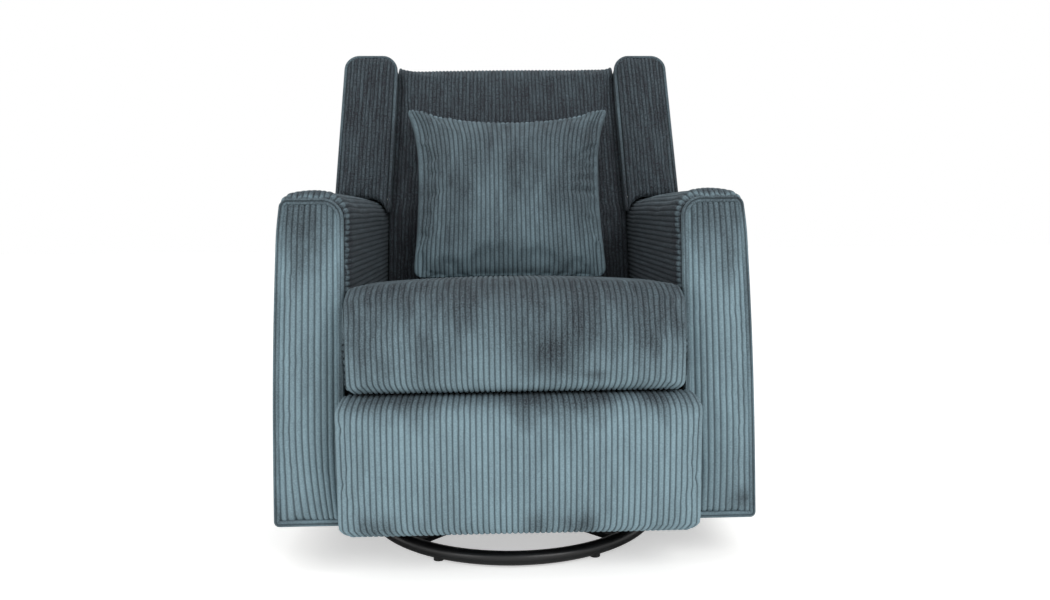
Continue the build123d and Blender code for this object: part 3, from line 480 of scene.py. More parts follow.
# Footrest pad: wales run up and down, rolled over the top and bottom edges
foot = {
    "half": 291.0, "shift": 4.0, "low": 77.5, "high": 300.5, "frontY": -329.0, "rearY": -276.5, "width": 576,
    "edge": 13.0, "pitch": 9.2, "cap": 5.0, "fill": 0.7, "core": (0, -300, 190),
    "spine": ((-300, 105), (-300, 275)), "capWidth": 24, "capNapAndShade": 0.6, "capBulge": 1.5, "crown": 5.0,
    "middleZ": 190.0, "crownReach": 105.0, "lowCorner": 20.0, "lowDraw": 13.0, "highCorner": 24.0,
    "highDraw": 6.0, "heldY": -285.0, "heldLow": 14.0, "heldHigh": 10.0, "napAndShade": 0.75, "smudgeZ": 96.0,
    "smudgeReach": 20.0, "smudgeDark": 0.3, "topShadeRun": (276.0, 296.0), "topShadeDepth": 0.36,
    "brushedAndShaded": ((-185.0, 38.0), (20.0, 60.0), (130.0, 32.0), (215.0, 26.0)), "shadePatchRun": (252.0, 272.0),
    "shadePatchDepth": 0.26, "shadePatchWave": 9.0, "hemWaves": ((1.0, 47.0), (0.4, 13.0)),
}
footLoop = roundedPath([
    (foot["rearY"], foot["low"], 8), (foot["rearY"], foot["high"], 8),
    (foot["frontY"], foot["high"], 19), (foot["frontY"], foot["low"], 15),
], True)


def footLift(path, normals, side):
    front = np.clip(-normals[:, 0], 0, 1)[:, None]
    height = np.clip((path[:, 1] - foot["middleZ"]) / foot["crownReach"], -1, 1)[:, None]
    return front * foot["crown"] * (1 - side ** 4) * (1 - height ** 2)


def footNapAndShade(points):
    # a smudged hem, and painted shade along the top edge under the seat, deeper in patches with wavy lower
    # ends
    x, z = points[:, :, 0], points[:, :, 2]
    hemWaves = np.clip(sum(size * np.sin(x / length) for size, length in foot["hemWaves"]), 0, 1)
    hem = np.exp(-((z - foot["smudgeZ"]) / foot["smudgeReach"]) ** 2) * hemWaves
    patches = sum(np.exp(-((x - middle) / reach) ** 2) for middle, reach in foot["brushedAndShaded"])
    wave = foot["shadePatchWave"] * np.sin(x / foot["shadePatchWave"])
    patches = patches * ramp(z + wave, *foot["shadePatchRun"])
    return (foot["napAndShade"] - foot["smudgeDark"] * hem - foot["topShadeDepth"] * ramp(z, *foot["topShadeRun"])
            - foot["shadePatchDepth"] * patches)


def footHeld(points):
    y, z = points[:, :, 1], points[:, :, 2]
    return (y > foot["heldY"]) | (z < foot["low"] + foot["heldLow"]) | (z > foot["high"] - foot["heldHigh"])


def footHalf(path):
    # rounded corners, tighter at the top
    low = ramp(path[:, 1], foot["low"] + foot["lowCorner"], foot["low"])
    high = ramp(path[:, 1], foot["high"] - foot["highCorner"], foot["high"])
    return foot["half"] - foot["lowDraw"] * low ** 2 - foot["highDraw"] * high ** 2


footWrap = wrapShape(footLoop, standing, footHalf, footLift, foot["edge"])


def footShape(across):
    # the pad hangs a little to the right
    return footWrap(across) + np.array((foot["shift"], 0, 0))


sewPad("footrestPad", foot, footShape, footNapAndShade, footHeld, "footrest", "footrest_pad")

# Backrest plane, with up along the back and depth behind its face, and the space between the wings
plane = {"y": 210.0, "z": 450.0, "lean": math.radians(17.0)}
opening = {"low": 260.0, "high": 245.0, "run": (170.0, 497.0)}
leanSin = math.sin(plane["lean"])
leanCos = math.cos(plane["lean"])


def backPlace(depth, up):
    return plane["y"] + up * leanSin + depth * leanCos, plane["z"] + up * leanCos - depth * leanSin


def wingInner(up):
    return opening["low"] + (opening["high"] - opening["low"]) * ramp(up, *opening["run"])


# Back cushion: upright wales between the wings, rolled over the top
back = {
    "gap": 1.0, "hips": 4.5, "hipsRun": (156.0, 146.0), "width": 518, "edge": 15.0, "pitch": 8.7, "cap": 5.0,
    "fill": 0.7, "core": (0, 310, 640), "spine": (backPlace(60, -40), backPlace(60, 440)), "capWidth": 50,
    "capNapAndShade": 0.1, "capBulge": 0.0, "crown": 16.0, "crownRun": (470.0, 330.0), "cornerFill": 14.0,
    "cornerFrom": 0.94, "topCrown": 3.5, "topCrownAt": 0.25, "heldBehind": 60.0, "napAndShade": 0.05, "paleTop": 0.05,
    "paleRun": (700.0, 900.0),
}
backLoop = roundedPath([
    (88, -79, 6), (-1, -79, 26), (-1, 489, 34), (142, 489, 16), (142, 458.5, 3), (88, 458.5, 3),
], True)


def backLift(path, normals, side):
    front = np.clip(-normals[:, 0], 0, 1)[:, None] * ramp(path[:, 1], *back["crownRun"])[:, None]
    top = np.clip(normals[:, 1], 0, 1)[:, None]
    corner = back["cornerFill"] * ramp(np.abs(side), back["cornerFrom"], 1.0) ** 2
    rise = corner + back["topCrown"] * np.clip(1 - (side - back["topCrownAt"]) ** 2, 0, 1)
    return front * back["crown"] * (1 - side ** 2) + top * rise


def backNapAndShade(points):
    # painted shade: the back is drawn dark, for the shade between the wings as well as its nap, a little
    # paler towards the top
    return back["napAndShade"] + back["paleTop"] * ramp(points[:, :, 2], *back["paleRun"])


def backHeld(points):
    behind = (points[:, :, 1] - plane["y"]) * leanCos - (points[:, :, 2] - plane["z"]) * leanSin
    return behind > back["heldBehind"]


def backHalf(path):
    # below the wings the cushion fills out towards the arms
    return wingInner(path[:, 1]) - back["gap"] + back["hips"] * ramp(path[:, 1], *back["hipsRun"])


backShape = wrapShape(backLoop, backPlace, backHalf, backLift, back["edge"])
sewPad("backCushion", back, backShape, backNapAndShade, backHeld, "backrest", "back_cushion")

rimRows = np.array((0, 1, 2.2, 4, 7, 11, 16)) / 1000  # a facing's rows lie closer together at its ends


def panelShape(left, right, low, high, spot, edge, swell, stand):
    # a facing with upright wales: each wale runs from low to high at its own place across, and the rim
    # drops back by edge; spot turns (x, up, depth) into a point
    middleRows = np.linspace(0.024, 0.976, max(8, int(stand / weave["runStep"])))
    heights = np.concatenate((rimRows, middleRows, 1 - rimRows[::-1]))

    def shape(across):
        bottom, top = low(across), high(across)
        up = bottom[None, :] + (top - bottom)[None, :] * heights[:, None]
        width = right(up) - left(up)
        x = left(up) + width * across[None, :]
        sideGap = np.minimum(across, 1 - across)[None, :] * width
        endGap = np.minimum(up - bottom[None, :], top[None, :] - up)
        inset = np.hypot(np.clip(1 - sideGap / edge, 0, 1), np.clip(1 - endGap / edge, 0, 1))
        inset = np.clip(inset, 0, 1)
        depth = edge * (1 - np.sqrt(1 - inset ** 2))
        middle = (1 - (2 * across[None, :] - 1) ** 2) * (1 - (2 * heights[:, None] - 1) ** 4)
        return np.stack(spot(x, up, depth - swell * middle), axis=2)

    return shape


def roundedTop(width, top, leftRadius, rightRadius):
    def high(across):
        x = across * width
        inLeft = np.clip(leftRadius - x, 0, leftRadius)
        inRight = np.clip(rightRadius - (width - x), 0, rightRadius)
        return (top - leftRadius + np.sqrt(leftRadius ** 2 - inLeft ** 2)
                - rightRadius + np.sqrt(rightRadius ** 2 - inRight ** 2))

    return high


def flatPanel(panel, spot):
    # a plain oblong facing
    return panelShape(always(-panel["half"]), always(panel["half"]), always(panel["low"]),
                      always(panel["high"]), spot, panel["edge"], panel["swell"],
                      panel["high"] - panel["low"])


# Outer back: a tacked panel with upright wales
outer = {
    "half": 242.5, "low": -107.0, "high": 456.0, "edge": 6.0, "swell": 3.0, "rear": 143.0, "width": 485,
    "core": (0, 200, 600), "napAndShade": 0.4,
}


def outerSpot(x, up, depth):
    y, z = backPlace(outer["rear"] - depth, up)
    return x, y, z


outerCut = tailor(flatPanel(outer, outerSpot), outer["width"], outer["core"], outer["napAndShade"])
sew("outerBack", [outerCut], "backrest", ["outer_back"], fill=0.4)

# Rear skirt below the back
skirt = {
    "half": 261.0, "low": 79.0, "high": 273.0, "edge": 6.0, "swell": 1.0, "rearY": 316.0, "width": 522,
    "core": (0, 200, 180), "napAndShade": 0.4,
}


def skirtSpot(x, up, depth):
    return x, skirt["rearY"] - depth, up


skirtCut = tailor(flatPanel(skirt, skirtSpot), skirt["width"], skirt["core"], skirt["napAndShade"])
sew("rearSkirt", [skirtCut], "chair", ["rear_skirt"], fill=0.3)

# Arms: a raked front facing inside a flat double welt, and boxing that swells behind it
arm = {
    "low": 78.0, "high": 614.0, "hem": 79.0, "frontY": -270.0, "rake": 75.0, "rearY": 300.0,
    "outerLow": 400.0, "outerHigh": 393.0, "innerFront": 284.0, "innerRear": 266.0, "innerCorner": 34.0,
    "outerCorner": 14.0, "innerLow": 337.0, "outerSeam": 588.0, "boxingStart": 7.0, "ridge": 12.0,
    "ridgeRun": 11.0, "flatFrom": 215.0, "domeAt": 0.42, "domeReach": 0.66, "sideShare": 0.35,
    "topShare": 0.75, "frontTuck": 1.5, "frontTuckRun": 4.0, "rearRoll": 14.0, "fullRun": (310.0, 390.0),
    "sideSwell": 4.0, "swellTop": 590.0, "shoulder": 5.0, "shoulderRun": (540.0, 614.0), "cap": 3.0,
    "slack": 0.03, "outsideTall": 513.0, "outsideWidth": 540, "outsideSwell": 4.0, "outsideCap": 2.0,
    "seamTuck": 2.5, "seamTuckRun": (575.0, 592.0), "rearTop": (127, 617, 38, 16), "rearEdge": 5.0,
    "rearSwell": 1.0, "rearTall": 535, "rearWidth": 130, "rearNapAndShade": 0.35, "outsideNapAndShade": 0.5, "topPale": 0.13,
    "topPaleRun": (590.0, 620.0), "sidePale": 0.3, "sidePaleRun": (378.0, 390.0), "frontEndHighlight": 0.3,
    "frontEndAt": 5.0, "frontEndReach": 4.0, "rearEndHighlight": 0.34, "rearEndAt": 12.0, "rearEndReach": 7.0,
    "core": (335, 40, 400),
}
armHeight = arm["high"] - arm["low"]
rakeAngle = math.atan2(arm["rake"], armHeight)
frontHeight = armHeight / math.cos(rakeAngle)


def armFrontY(z):
    return arm["frontY"] + arm["rake"] * (z - arm["low"]) / armHeight


def armOuter(z):
    return arm["outerLow"] + (arm["outerHigh"] - arm["outerLow"]) * ramp(z, arm["low"], arm["high"])


def armInner(y):
    return arm["innerFront"] + (arm["innerRear"] - arm["innerFront"]) * ramp(y, arm["frontY"], arm["rearY"])


def armFull(x, z):
    # the arm's outer side fills out at half height and is drawn in at the shoulder
    swell = arm["sideSwell"] * np.sin(np.pi * ramp(z, arm["low"], arm["swellTop"]))
    return x + ramp(x, *arm["fullRun"]) * (swell - arm["shoulder"] * ramp(z, *arm["shoulderRun"]) ** 2)


def rakedSpot(x, up, depth):
    y = arm["frontY"] + up * math.sin(rakeAngle) + depth * math.cos(rakeAngle)
    z = arm["low"] + up * math.cos(rakeAngle) - depth * math.sin(rakeAngle)
    return armFull(x, z), y, z


boxingWidth = arm["outerHigh"] - arm["innerFront"]
boxingPath = roundedPath([
    (0, arm["innerLow"], 0), (0, arm["high"], arm["innerCorner"]),
    (boxingWidth, arm["high"], arm["outerCorner"]), (boxingWidth + 0.4, arm["outerSeam"], 0),
])
boxingNormals = pathNormals(boxingPath, False)
boxingRun = np.concatenate(((0,), np.cumsum(np.linalg.norm(np.diff(boxingPath, axis=0), axis=1))))
boxingRows = np.concatenate((np.array((0, 2, 5, 9, 14, 20, 28, 38)) / 500, np.linspace(0.1, 0.96, 34),
                             1 - np.array((14, 9, 5, 2, 0)) / 500))


def boxingShape(side):
    def shape(across):
        run = across * boxingRun[-1]
        w, z, nw, nz = (np.interp(run, boxingRun, values)[None, :] for values in (
            boxingPath[:, 0], boxingPath[:, 1], boxingNormals[:, 0], boxingNormals[:, 1]))
        start = armFrontY(z) + arm["boxingStart"]
        behind = (arm["rearY"] - start) * boxingRows[:, None]
        toRear = arm["rearY"] - start - behind
        ahead = np.clip((arm["flatFrom"] - start - behind) / (arm["flatFrom"] - start), 0, 1)
        swell = arm["ridge"] * (1 - np.exp(-behind / arm["ridgeRun"])) * ahead ** 0.7
        dome = np.clip(1 - ((w / boxingWidth - arm["domeAt"]) / arm["domeReach"]) ** 2, 0, 1)
        share = arm["sideShare"] + arm["topShare"] * np.clip(nz, 0, 1) * dome
        tuck = arm["frontTuck"] * np.exp(-behind / arm["frontTuckRun"])
        lift = swell * share - rollOver(toRear, arm["rearRoll"]) - tuck
        y = start + behind
        inner = armInner(y)
        x = inner + (w + nw * lift) * (arm["outerHigh"] - inner) / boxingWidth
        return np.stack((side * armFull(x, z), y, z + nz * lift), axis=2)

    return shape


outsideRows = np.concatenate((np.array((0, 3, 8, 15)) / arm["outsideTall"], np.linspace(0.05, 1, 38)))


def outsideShape(side):
    def shape(across):
        z = arm["hem"] + arm["outsideTall"] * outsideRows[:, None]
        start = armFrontY(z) + arm["boxingStart"]
        y = start + (arm["rearY"] - start) * across[None, :]
        swell = arm["outsideSwell"] * np.sin(np.pi * across)[None, :] ** 0.5
        sink = rollOver(arm["rearY"] - y, arm["rearRoll"]) + arm["seamTuck"] * ramp(z, *arm["seamTuckRun"])
        x = armFull(armOuter(z) + swell - sink, z)
        return np.stack((side * x, y, np.broadcast_to(z, y.shape)), axis=2)

    return shape


def armLightAndShade(points):
    # painted light and shade: the inner face is left dark as painted shade, the top and the outer side are
    # drawn paler, and painted highlights stand for the ribs' ends catching the light where they are tucked
    # into the seams
    y, z = points[:, :, 1], points[:, :, 2]
    outside = ramp(np.abs(points[:, :, 0]), *arm["sidePaleRun"])
    frontGap = y - armFrontY(z) - arm["boxingStart"] - arm["frontEndAt"]
    frontEnd = np.exp(-(frontGap / arm["frontEndReach"]) ** 2)
    rearEnd = np.exp(-((arm["rearY"] - arm["rearEndAt"] - y) / arm["rearEndReach"]) ** 2)
    return (arm["topPale"] * ramp(z, *arm["topPaleRun"]) + arm["sidePale"] * outside
            + arm["frontEndHighlight"] * frontEnd + arm["rearEndHighlight"] * rearEnd)


# Arm facings: darker above and at the hem as painted shade, their wales pulled over near the floor
facing = {
    "inset": 6.5, "edge": 7.0, "swell": 4.0, "stand": 0.5, "cap": 2.0, "slack": 0.01, "foot": 7.0,
    "bend": {"Left": 15.0, "Right": 4.5}, "bendBelow": 170.0, "napAndShade": 0.74, "topShadeDepth": 0.44,
    "topShadeRun": (470.0, 580.0), "lowShadeDepth": 0.1, "lowRun": (150.0, 70.0), "waves": ((18.0, 17.0), (9.0, 7.0)),
    "brushedAndShaded": ((378, 108, 16, 16, 0.4),),
}
facingWidth = boxingWidth - 2 * facing["inset"]


def facingNapAndShade(points):
    x, z = np.abs(points[:, :, 0]), points[:, :, 2]
    waver = sum(size * np.sin(x / length) for size, length in facing["waves"])
    topShade = ramp(z + waver, *facing["topShadeRun"])
    lowShade = ramp(z - waver, *facing["lowRun"])
    return (facing["napAndShade"] - facing["topShadeDepth"] * topShade - facing["lowShadeDepth"] * lowShade
            - brushedSpots(points, facing["brushedAndShaded"]))


def facingRight(up):
    return (arm["outerLow"] - facing["inset"]
            + (arm["outerHigh"] - arm["outerLow"]) * ramp(up, 0, frontHeight))


# Arm welt: a flat strip sewn double, given by its section's inset from the rim and depth
welt = {
    "section": ((11.5, 2.5), (10.3, -1.5), (8.6, -3.6), (6.8, -3.2), (5.6, -1.6), (4.4, -3.0), (2.6, -4.2),
                (0.8, -3.2), (-0.3, -0.5), (-0.4, 4.0), (0.5, 11.0)),
    "width": 20, "floorCorner": 9, "napAndShade": 0.5, "topShadeDepth": 0.26, "topShadeRun": (540.0, 600.0),
}
weltSection = np.array(welt["section"])
weltRim = roundedPath([
    (arm["innerFront"], 0, welt["floorCorner"]), (arm["innerFront"], frontHeight, arm["innerCorner"]),
    (arm["outerHigh"], frontHeight, arm["outerCorner"]), (arm["outerLow"], 0, welt["floorCorner"]),
], True)


def weltShape(path, spot):
    # two low beads side by side along the rim
    normals = pathNormals(path, True)

    def shape(across):
        place = across * (len(weltSection) - 1)
        inset = np.interp(place, np.arange(len(weltSection)), weltSection[:, 0])
        depth = np.interp(place, np.arange(len(weltSection)), weltSection[:, 1])
        x = path[:, None, 0] - normals[:, None, 0] * inset[None, :]
        up = path[:, None, 1] - normals[:, None, 1] * inset[None, :]
        return np.stack(spot(x, up, np.broadcast_to(depth, x.shape)), axis=2)

    return shape


def weltNapAndShade(points):
    # painted shade: darker towards the top, like the facing beside it
    return welt["napAndShade"] - welt["topShadeDepth"] * ramp(points[:, :, 2], *welt["topShadeRun"])


weltCuts = []
for side, word in sides:
    armCore = np.array(arm["core"]) * (side, 1, 1)

    def rearSpot(x, up, depth, side=side):
        return side * armFull(x, up), arm["rearY"] - depth, up

    def facingSpot(x, up, depth, side=side, bend=facing["bend"][word]):
        # near the floor the wales are pulled over towards the inside
        share = ramp(x, arm["innerFront"], arm["outerLow"])
        pull = bend * ramp(up, facing["bendBelow"], 0) ** 2 * np.sin(np.pi * share)
        filled, y, z = rakedSpot(x, up, depth - facing["stand"])
        return side * (filled - pull), y, z

    def weltSpot(x, up, depth, side=side):
        filled, y, z = rakedSpot(x, up, depth)
        return side * filled, y, z

    boxing = tailor(boxingShape(side), float(boxingRun[-1]), armCore, armLightAndShade, cap=arm["cap"],
                    slack=arm["slack"])
    outside = tailor(outsideShape(side), arm["outsideWidth"], armCore, arm["outsideNapAndShade"],
                     cap=arm["outsideCap"])
    rearShape = panelShape(always(arm["innerRear"]), armOuter, always(arm["hem"]),
                           roundedTop(*arm["rearTop"]), rearSpot, arm["rearEdge"], arm["rearSwell"],
                           arm["rearTall"])
    rear = tailor(rearShape, arm["rearWidth"], armCore, arm["rearNapAndShade"])
    sew("armCover" + word, [boxing, outside, rear], "chair", ["arm_cover_" + word.lower()], fill=0.7)

    facingTop = roundedTop(facingWidth, frontHeight - facing["inset"], arm["innerCorner"] - facing["inset"],
                           arm["outerCorner"] - facing["inset"])
    facingShape = panelShape(always(arm["innerFront"] + facing["inset"]), facingRight, always(facing["foot"]),
                             facingTop, facingSpot, facing["edge"], facing["swell"], frontHeight)
    facingCut = tailor(facingShape, facingWidth, armCore, facingNapAndShade, cap=facing["cap"], slack=facing["slack"])
    sew("armFront" + word, [facingCut], "chair", ["arm_front_" + word.lower()], fill=0.5)
    weltCuts.append(tailor(weltShape(weltRim, weltSpot), welt["width"], armCore, weltNapAndShade, ribs=0.0,
                           seams=sewnNone))
sew("armWelts", weltCuts, "chair", ["arm_welts"], fill=None)

# Wings: upright stuffed blocks beside the back, boxed, with a thin welt round the front
wing = {
    "front": -25.0, "rear": 143.0, "step": 12.0, "tuck": 4.0, "foot": 170.0, "top": 497.0, "corner": 30.0,
    "bottomZ": 618.0, "tipZ": 585.0, "footY": 262.0, "outerTop": 357.0, "outerSlope": 15.0 / 309.0,
    "lowRun": 104.0, "inset": 3.3, "edge": 8.0, "swell": 4.0, "tall": 320, "cap": 3.0, "pitch": 8.3,
    "napAndShade": 0.09, "boxSwell": 3.0, "boxRoll": 8.0, "boxRollRun": 156.0, "boxTuck": 1.0, "innerEase": 0.2,
    "boxWidth": 160, "boxCap": 2.0, "boxShade": 0.1, "rearInset": 4.0, "rearEdge": 4.0, "rearSwell": 1.0,
    "rearTall": 290, "rearNapAndShade": 0.35, "underX": 261.5, "underWide": 103.0, "underY": 244.0,
    "underLong": 148.0, "underShade": 0.05, "cord": 3.6, "cordDepth": 6.0, "cordTuck": 0.3, "cordWidth": 18,
    "cordShading": 0.07, "cordHighlight": 0.15, "cordHighlightRun": (650.0, 780.0), "cordTaper": 0.05, "core": (310, 330, 780),
}
wingWidth = wing["outerTop"] - opening["high"]


def wingOuter(up):
    return wing["outerTop"] + wing["outerSlope"] * (wing["top"] - up)


def wingUnder(x, y):
    # the underside follows the arm's rounded inner corner down to a short tip
    cornerX = armInner(y) + arm["innerCorner"]
    cornerZ = arm["high"] - arm["innerCorner"]
    reach = wing["bottomZ"] - cornerZ
    rise = np.sqrt(np.clip(reach ** 2 - np.clip(cornerX - x, 0, reach) ** 2, 0, None))
    return np.maximum(cornerZ + rise, wing["tipZ"])


def wingLow(x, depth):
    z = wingUnder(x, wing["footY"] + depth)
    return (z - plane["z"] + depth * leanSin) / leanCos


def wingStretch(up, low):
    # heights on a path are stretched so that its ends reach the underside
    return low + (up - wing["foot"]) * (wing["top"] - low) / (wing["top"] - wing["foot"])


def wingPath(tuck):
    # the line round the wing's front, drawn in by tuck
    high = wing["top"] - tuck
    return roundedPath([
        (opening["low"] + tuck, wing["foot"], 0), (opening["high"] + tuck, high, wing["corner"]),
        (wing["outerTop"] - tuck, high, wing["corner"]), (wingOuter(wing["foot"]) - tuck, wing["foot"], 0),
    ])


def wingSpot(side, x, up, depth):
    y, z = backPlace(depth, up)
    return side * x, y, z


def wingPanel(side, flat, way, inset, edge, swell, stand):
    # the front or rear of a wing, flat at one depth; way is 1 in front and -1 behind
    return panelShape(
        lambda up: wingInner(up) + inset, lambda up: wingOuter(up) - inset,
        lambda a: wingLow(opening["low"] + inset + wing["lowRun"] * a, flat),
        roundedTop(wingWidth - 2 * inset, wing["top"] - inset, wing["corner"] - inset,
                   wing["corner"] - inset),
        lambda x, up, depth: wingSpot(side, x, up, flat + way * depth), edge, swell, stand)


boxPath = wingPath(0.0)
boxNormals = pathNormals(boxPath, False)


def boxShape(side):
    def shape(across):
        start = wing["front"] + wing["step"] - wing["tuck"]
        depth = start + (wing["rear"] - start) * across
        roll = rollOver((1 - across) * wing["boxRollRun"], wing["boxRoll"])
        lift = wing["boxSwell"] * np.sin(np.pi * across) ** 0.5 - roll - wing["boxTuck"]
        # the inner side swells less, because the back lies against it
        ease = np.clip(boxNormals[:, :1] + 1 + wing["innerEase"], wing["innerEase"], 1)
        x = boxPath[:, None, 0] + boxNormals[:, None, 0] * lift[None, :] * ease
        up = wingStretch(boxPath[:, None, 1], wingLow(boxPath[:, :1], depth[None, :]))
        up = up + boxNormals[:, None, 1] * lift[None, :]
        return np.stack(wingSpot(side, x, up, np.broadcast_to(depth, x.shape)), axis=2)

    return shape


underRows = np.array((0.0, 0.05, 0.1, 0.15, 0.22, 0.3, 0.4, 0.7, 1.0))


def underShape(side):
    def shape(across):
        y, x = np.meshgrid(wing["underY"] + wing["underLong"] * across,
                           wing["underX"] + wing["underWide"] * underRows)
        return np.stack((side * x, y, wingUnder(x, y)), axis=2)

    return shape


cordLine = wingPath(wing["cordTuck"])
cordStart = cordLine[:1] + wing["cordTaper"] * (cordLine[1:2] - cordLine[:1])
cordEnd = cordLine[-1:] + wing["cordTaper"] * (cordLine[-2:-1] - cordLine[-1:])
cordPath = np.vstack((cordLine[:1], cordStart, cordLine[1:-1], cordEnd, cordLine[-1:]))
cordNormals = pathNormals(cordPath, False)
cordRadius = np.full(len(cordPath), wing["cord"])
cordRadius[[0, -1]] = 0.0  # the cord's ends are closed


def cordShape(side):
    def shape(across):
        turn = 2 * np.pi * across[None, :]
        middle = wing["front"] + wing["cordDepth"]
        up = wingStretch(cordPath[:, 1], wingLow(cordPath[:, 0], middle))
        x = cordPath[:, None, 0] + cordNormals[:, None, 0] * cordRadius[:, None] * np.cos(turn)
        up = up[:, None] + cordNormals[:, None, 1] * cordRadius[:, None] * np.cos(turn)
        return np.stack(wingSpot(side, x, up, middle - cordRadius[:, None] * np.sin(turn)), axis=2)

    return shape


def cordShading(points):
    # painted highlight: the cord is paler higher up, where it catches the light
    return wing["cordShading"] + wing["cordHighlight"] * ramp(points[:, :, 2], *wing["cordHighlightRun"])


cordCuts = []
for side, word in sides:
    wingCore = np.array(wing["core"]) * (side, 1, 1)
    # painted shade: the wing's face, box and underside are drawn dark, the underside darkest
    faceShape = wingPanel(side, wing["front"], 1, wing["inset"], wing["edge"], wing["swell"], wing["tall"])
    face = tailor(faceShape, wingWidth - 2 * wing["inset"], wingCore, wing["napAndShade"], cap=wing["cap"],
                  pitch=wing["pitch"])
    box = tailor(boxShape(side), wing["boxWidth"], wingCore, wing["boxShade"], cap=wing["boxCap"])
    rearShape = wingPanel(side, wing["rear"], -1, wing["rearInset"], wing["rearEdge"], wing["rearSwell"],
                          wing["rearTall"])
    rear = tailor(rearShape, wingWidth - 2 * wing["rearInset"], wingCore, wing["rearNapAndShade"])
    under = tailor(underShape(side), wing["underLong"], wingCore, wing["underShade"], ribs=0.0)
    sew("wing" + word, [face, box, rear, under], "backrest", ["wing_" + word.lower()], fill=0.8)
    cordCuts.append(tailor(cordShape(side), wing["cordWidth"], wingCore, cordShading, ribs=0.0, seams=sewnNone))
sew("wingWelts", cordCuts, "backrest", ["wing_welts"], fill=None)

# Throw pillow: two squares sewn at a knife edge, sides drawn in between the corners
pillow = {
    "halfWidth": 201.0, "halfHeight": 188.0, "half": 58.0, "lean": math.radians(22.0),
    "centre": (0.5, 179.5, 626.0), "draw": 10.5, "sag": 36.0, "sagBelow": 5.0, "ear": 9.0, "reach": 22.0,
    "earRise": 8.5, "scallop": 3.0, "scallopFrom": 0.93, "plump": 0.42, "rows": 84, "edge": 12.0,
    "folds": ((0.55, 0.7), (0.4, 0.5), (0.27, 0.3), (0.12, 0.2), (-0.05, 0.1)), "foldDepth": 5.0,
    "foldWidth": 7.0, "foldRun": (0.45, 0.75), "foldEnd": (1.0, 0.9), "cap": 6.0, "slack": 0.04, "napAndShade": 0.25,
    "lowPale": 0.3, "lowRun": (690.0, 490.0), "rimHighlight": 0.1, "rimHighlightWide": 30.0, "seamHighlight": 0.5,
    "seamHighlightWide": 7.0,
}
pillowWales = round(2 * pillow["halfWidth"] / weave["pitch"])


def pillowShape(face):
    rows = np.sin(np.linspace(-np.pi / 2, np.pi / 2, pillow["rows"]))

    def shape(across):
        s = (2 * across - 1)[None, :]
        t = rows[:, None]
        # the edges are drawn in between the ears, which have rounded tips; the bottom rests on the seat
        ear = pillow["ear"] * (s * t) ** 20
        reach = pillow["reach"] * np.clip(t, 0, 1) ** 4
        x = s * (pillow["halfWidth"] - pillow["draw"] * (1 - t ** 2) + reach - ear)
        drawUp = np.where(t > 0, pillow["sag"], pillow["sagBelow"]) * (1 - np.abs(s) ** 2.3)
        ribEnds = np.abs(np.sin(np.pi * pillowWales * across))[None, :] * ramp(t, pillow["scallopFrom"], 1)
        up = t * (pillow["halfHeight"] + pillow["earRise"] * np.clip(t, 0, 1) - drawUp - ear)
        up = up + pillow["scallop"] * ribEnds
        fullness = np.clip((1 - s ** 2) * (1 - t ** 2), 0, 1) ** pillow["plump"]
        out = face * pillow["half"] * fullness
        # soft folds run in from the right edge
        foldShare = ramp(s, *pillow["foldRun"]) * ramp(s, *pillow["foldEnd"])
        for height, slope in pillow["folds"]:
            away = (t - height - slope * (s - 1)) * pillow["halfHeight"]
            out = out - face * pillow["foldDepth"] * np.exp(-(away / pillow["foldWidth"]) ** 2) * foldShare
        y = pillow["centre"][1] + up * math.sin(pillow["lean"]) - out * math.cos(pillow["lean"])
        z = pillow["centre"][2] + up * math.cos(pillow["lean"]) + out * math.sin(pillow["lean"])
        return np.stack((pillow["centre"][0] + np.broadcast_to(x, y.shape), y, z), axis=2)

    return shape


def pillowNapAndLight(points):
    # paler towards the bottom, with painted highlights along the sides and the sewn edges
    upright, level = lengthAlong(points, 0), lengthAlong(points, 1)
    fromEnds = np.minimum(upright, upright[-1:] - upright)
    fromSides = np.minimum(level, level[:, -1:] - level)
    rim = ramp(fromSides, pillow["rimHighlightWide"], 0)
    seam = ramp(np.minimum(fromEnds, fromSides), pillow["seamHighlightWide"], 0)
    low = ramp(points[:, :, 2], *pillow["lowRun"])
    return pillow["napAndShade"] + pillow["lowPale"] * low + pillow["rimHighlight"] * rim + pillow["seamHighlight"] * seam


pillowCuts = [tailor(pillowShape(face), 2 * pillow["halfWidth"], pillow["centre"], pillowNapAndLight,
                     cap=pillow["cap"] * (face > 0), slack=pillow["slack"], endEdge=pillow["edge"])
              for face in (1, -1)]
sew("throwPillow", pillowCuts, "pillow", ["throw_pillow"], fill=0.8)

# Powder-coated steel: black, smooth and slightly orange-peeled
coatLook = {"deep": "#0B0B0C", "worn": "#1A1A1C", "peelMm": 2.5, "wearMm": 60.0}


def makeBlackSteel():
    material, tree, shader = newMaterial("powderCoatedSteel")
    place = addNode(tree, "ShaderNodeTexCoord").outputs["Object"]
    peel = addNode(tree, "ShaderNodeTexNoise", {
        "Vector": place, "Scale": 1000 / coatLook["peelMm"], "Detail": 2.0}).outputs["Fac"]
    wear = addNode(tree, "ShaderNodeTexNoise", {
        "Vector": place, "Scale": 1000 / coatLook["wearMm"], "Detail": 4.0}).outputs["Fac"]
    rough = addNode(tree, "ShaderNodeMapRange", {
        "Value": wear, "From Min": 0.3, "From Max": 0.7, "To Min": 0.24, "To Max": 0.42}).outputs[0]
    colour = addNode(tree, "ShaderNodeMix", {
        0: wear, 6: hexColour(coatLook["deep"]), 7: hexColour(coatLook["worn"])}, data_type="RGBA").outputs[2]
    bump = addNode(tree, "ShaderNodeBump", {
        "Height": peel, "Strength": 0.12, "Distance": 0.4 * mm}).outputs[0]
    setInputs(tree, shader, {"Base Color": colour, "Roughness": rough, "Normal": bump})
    return material


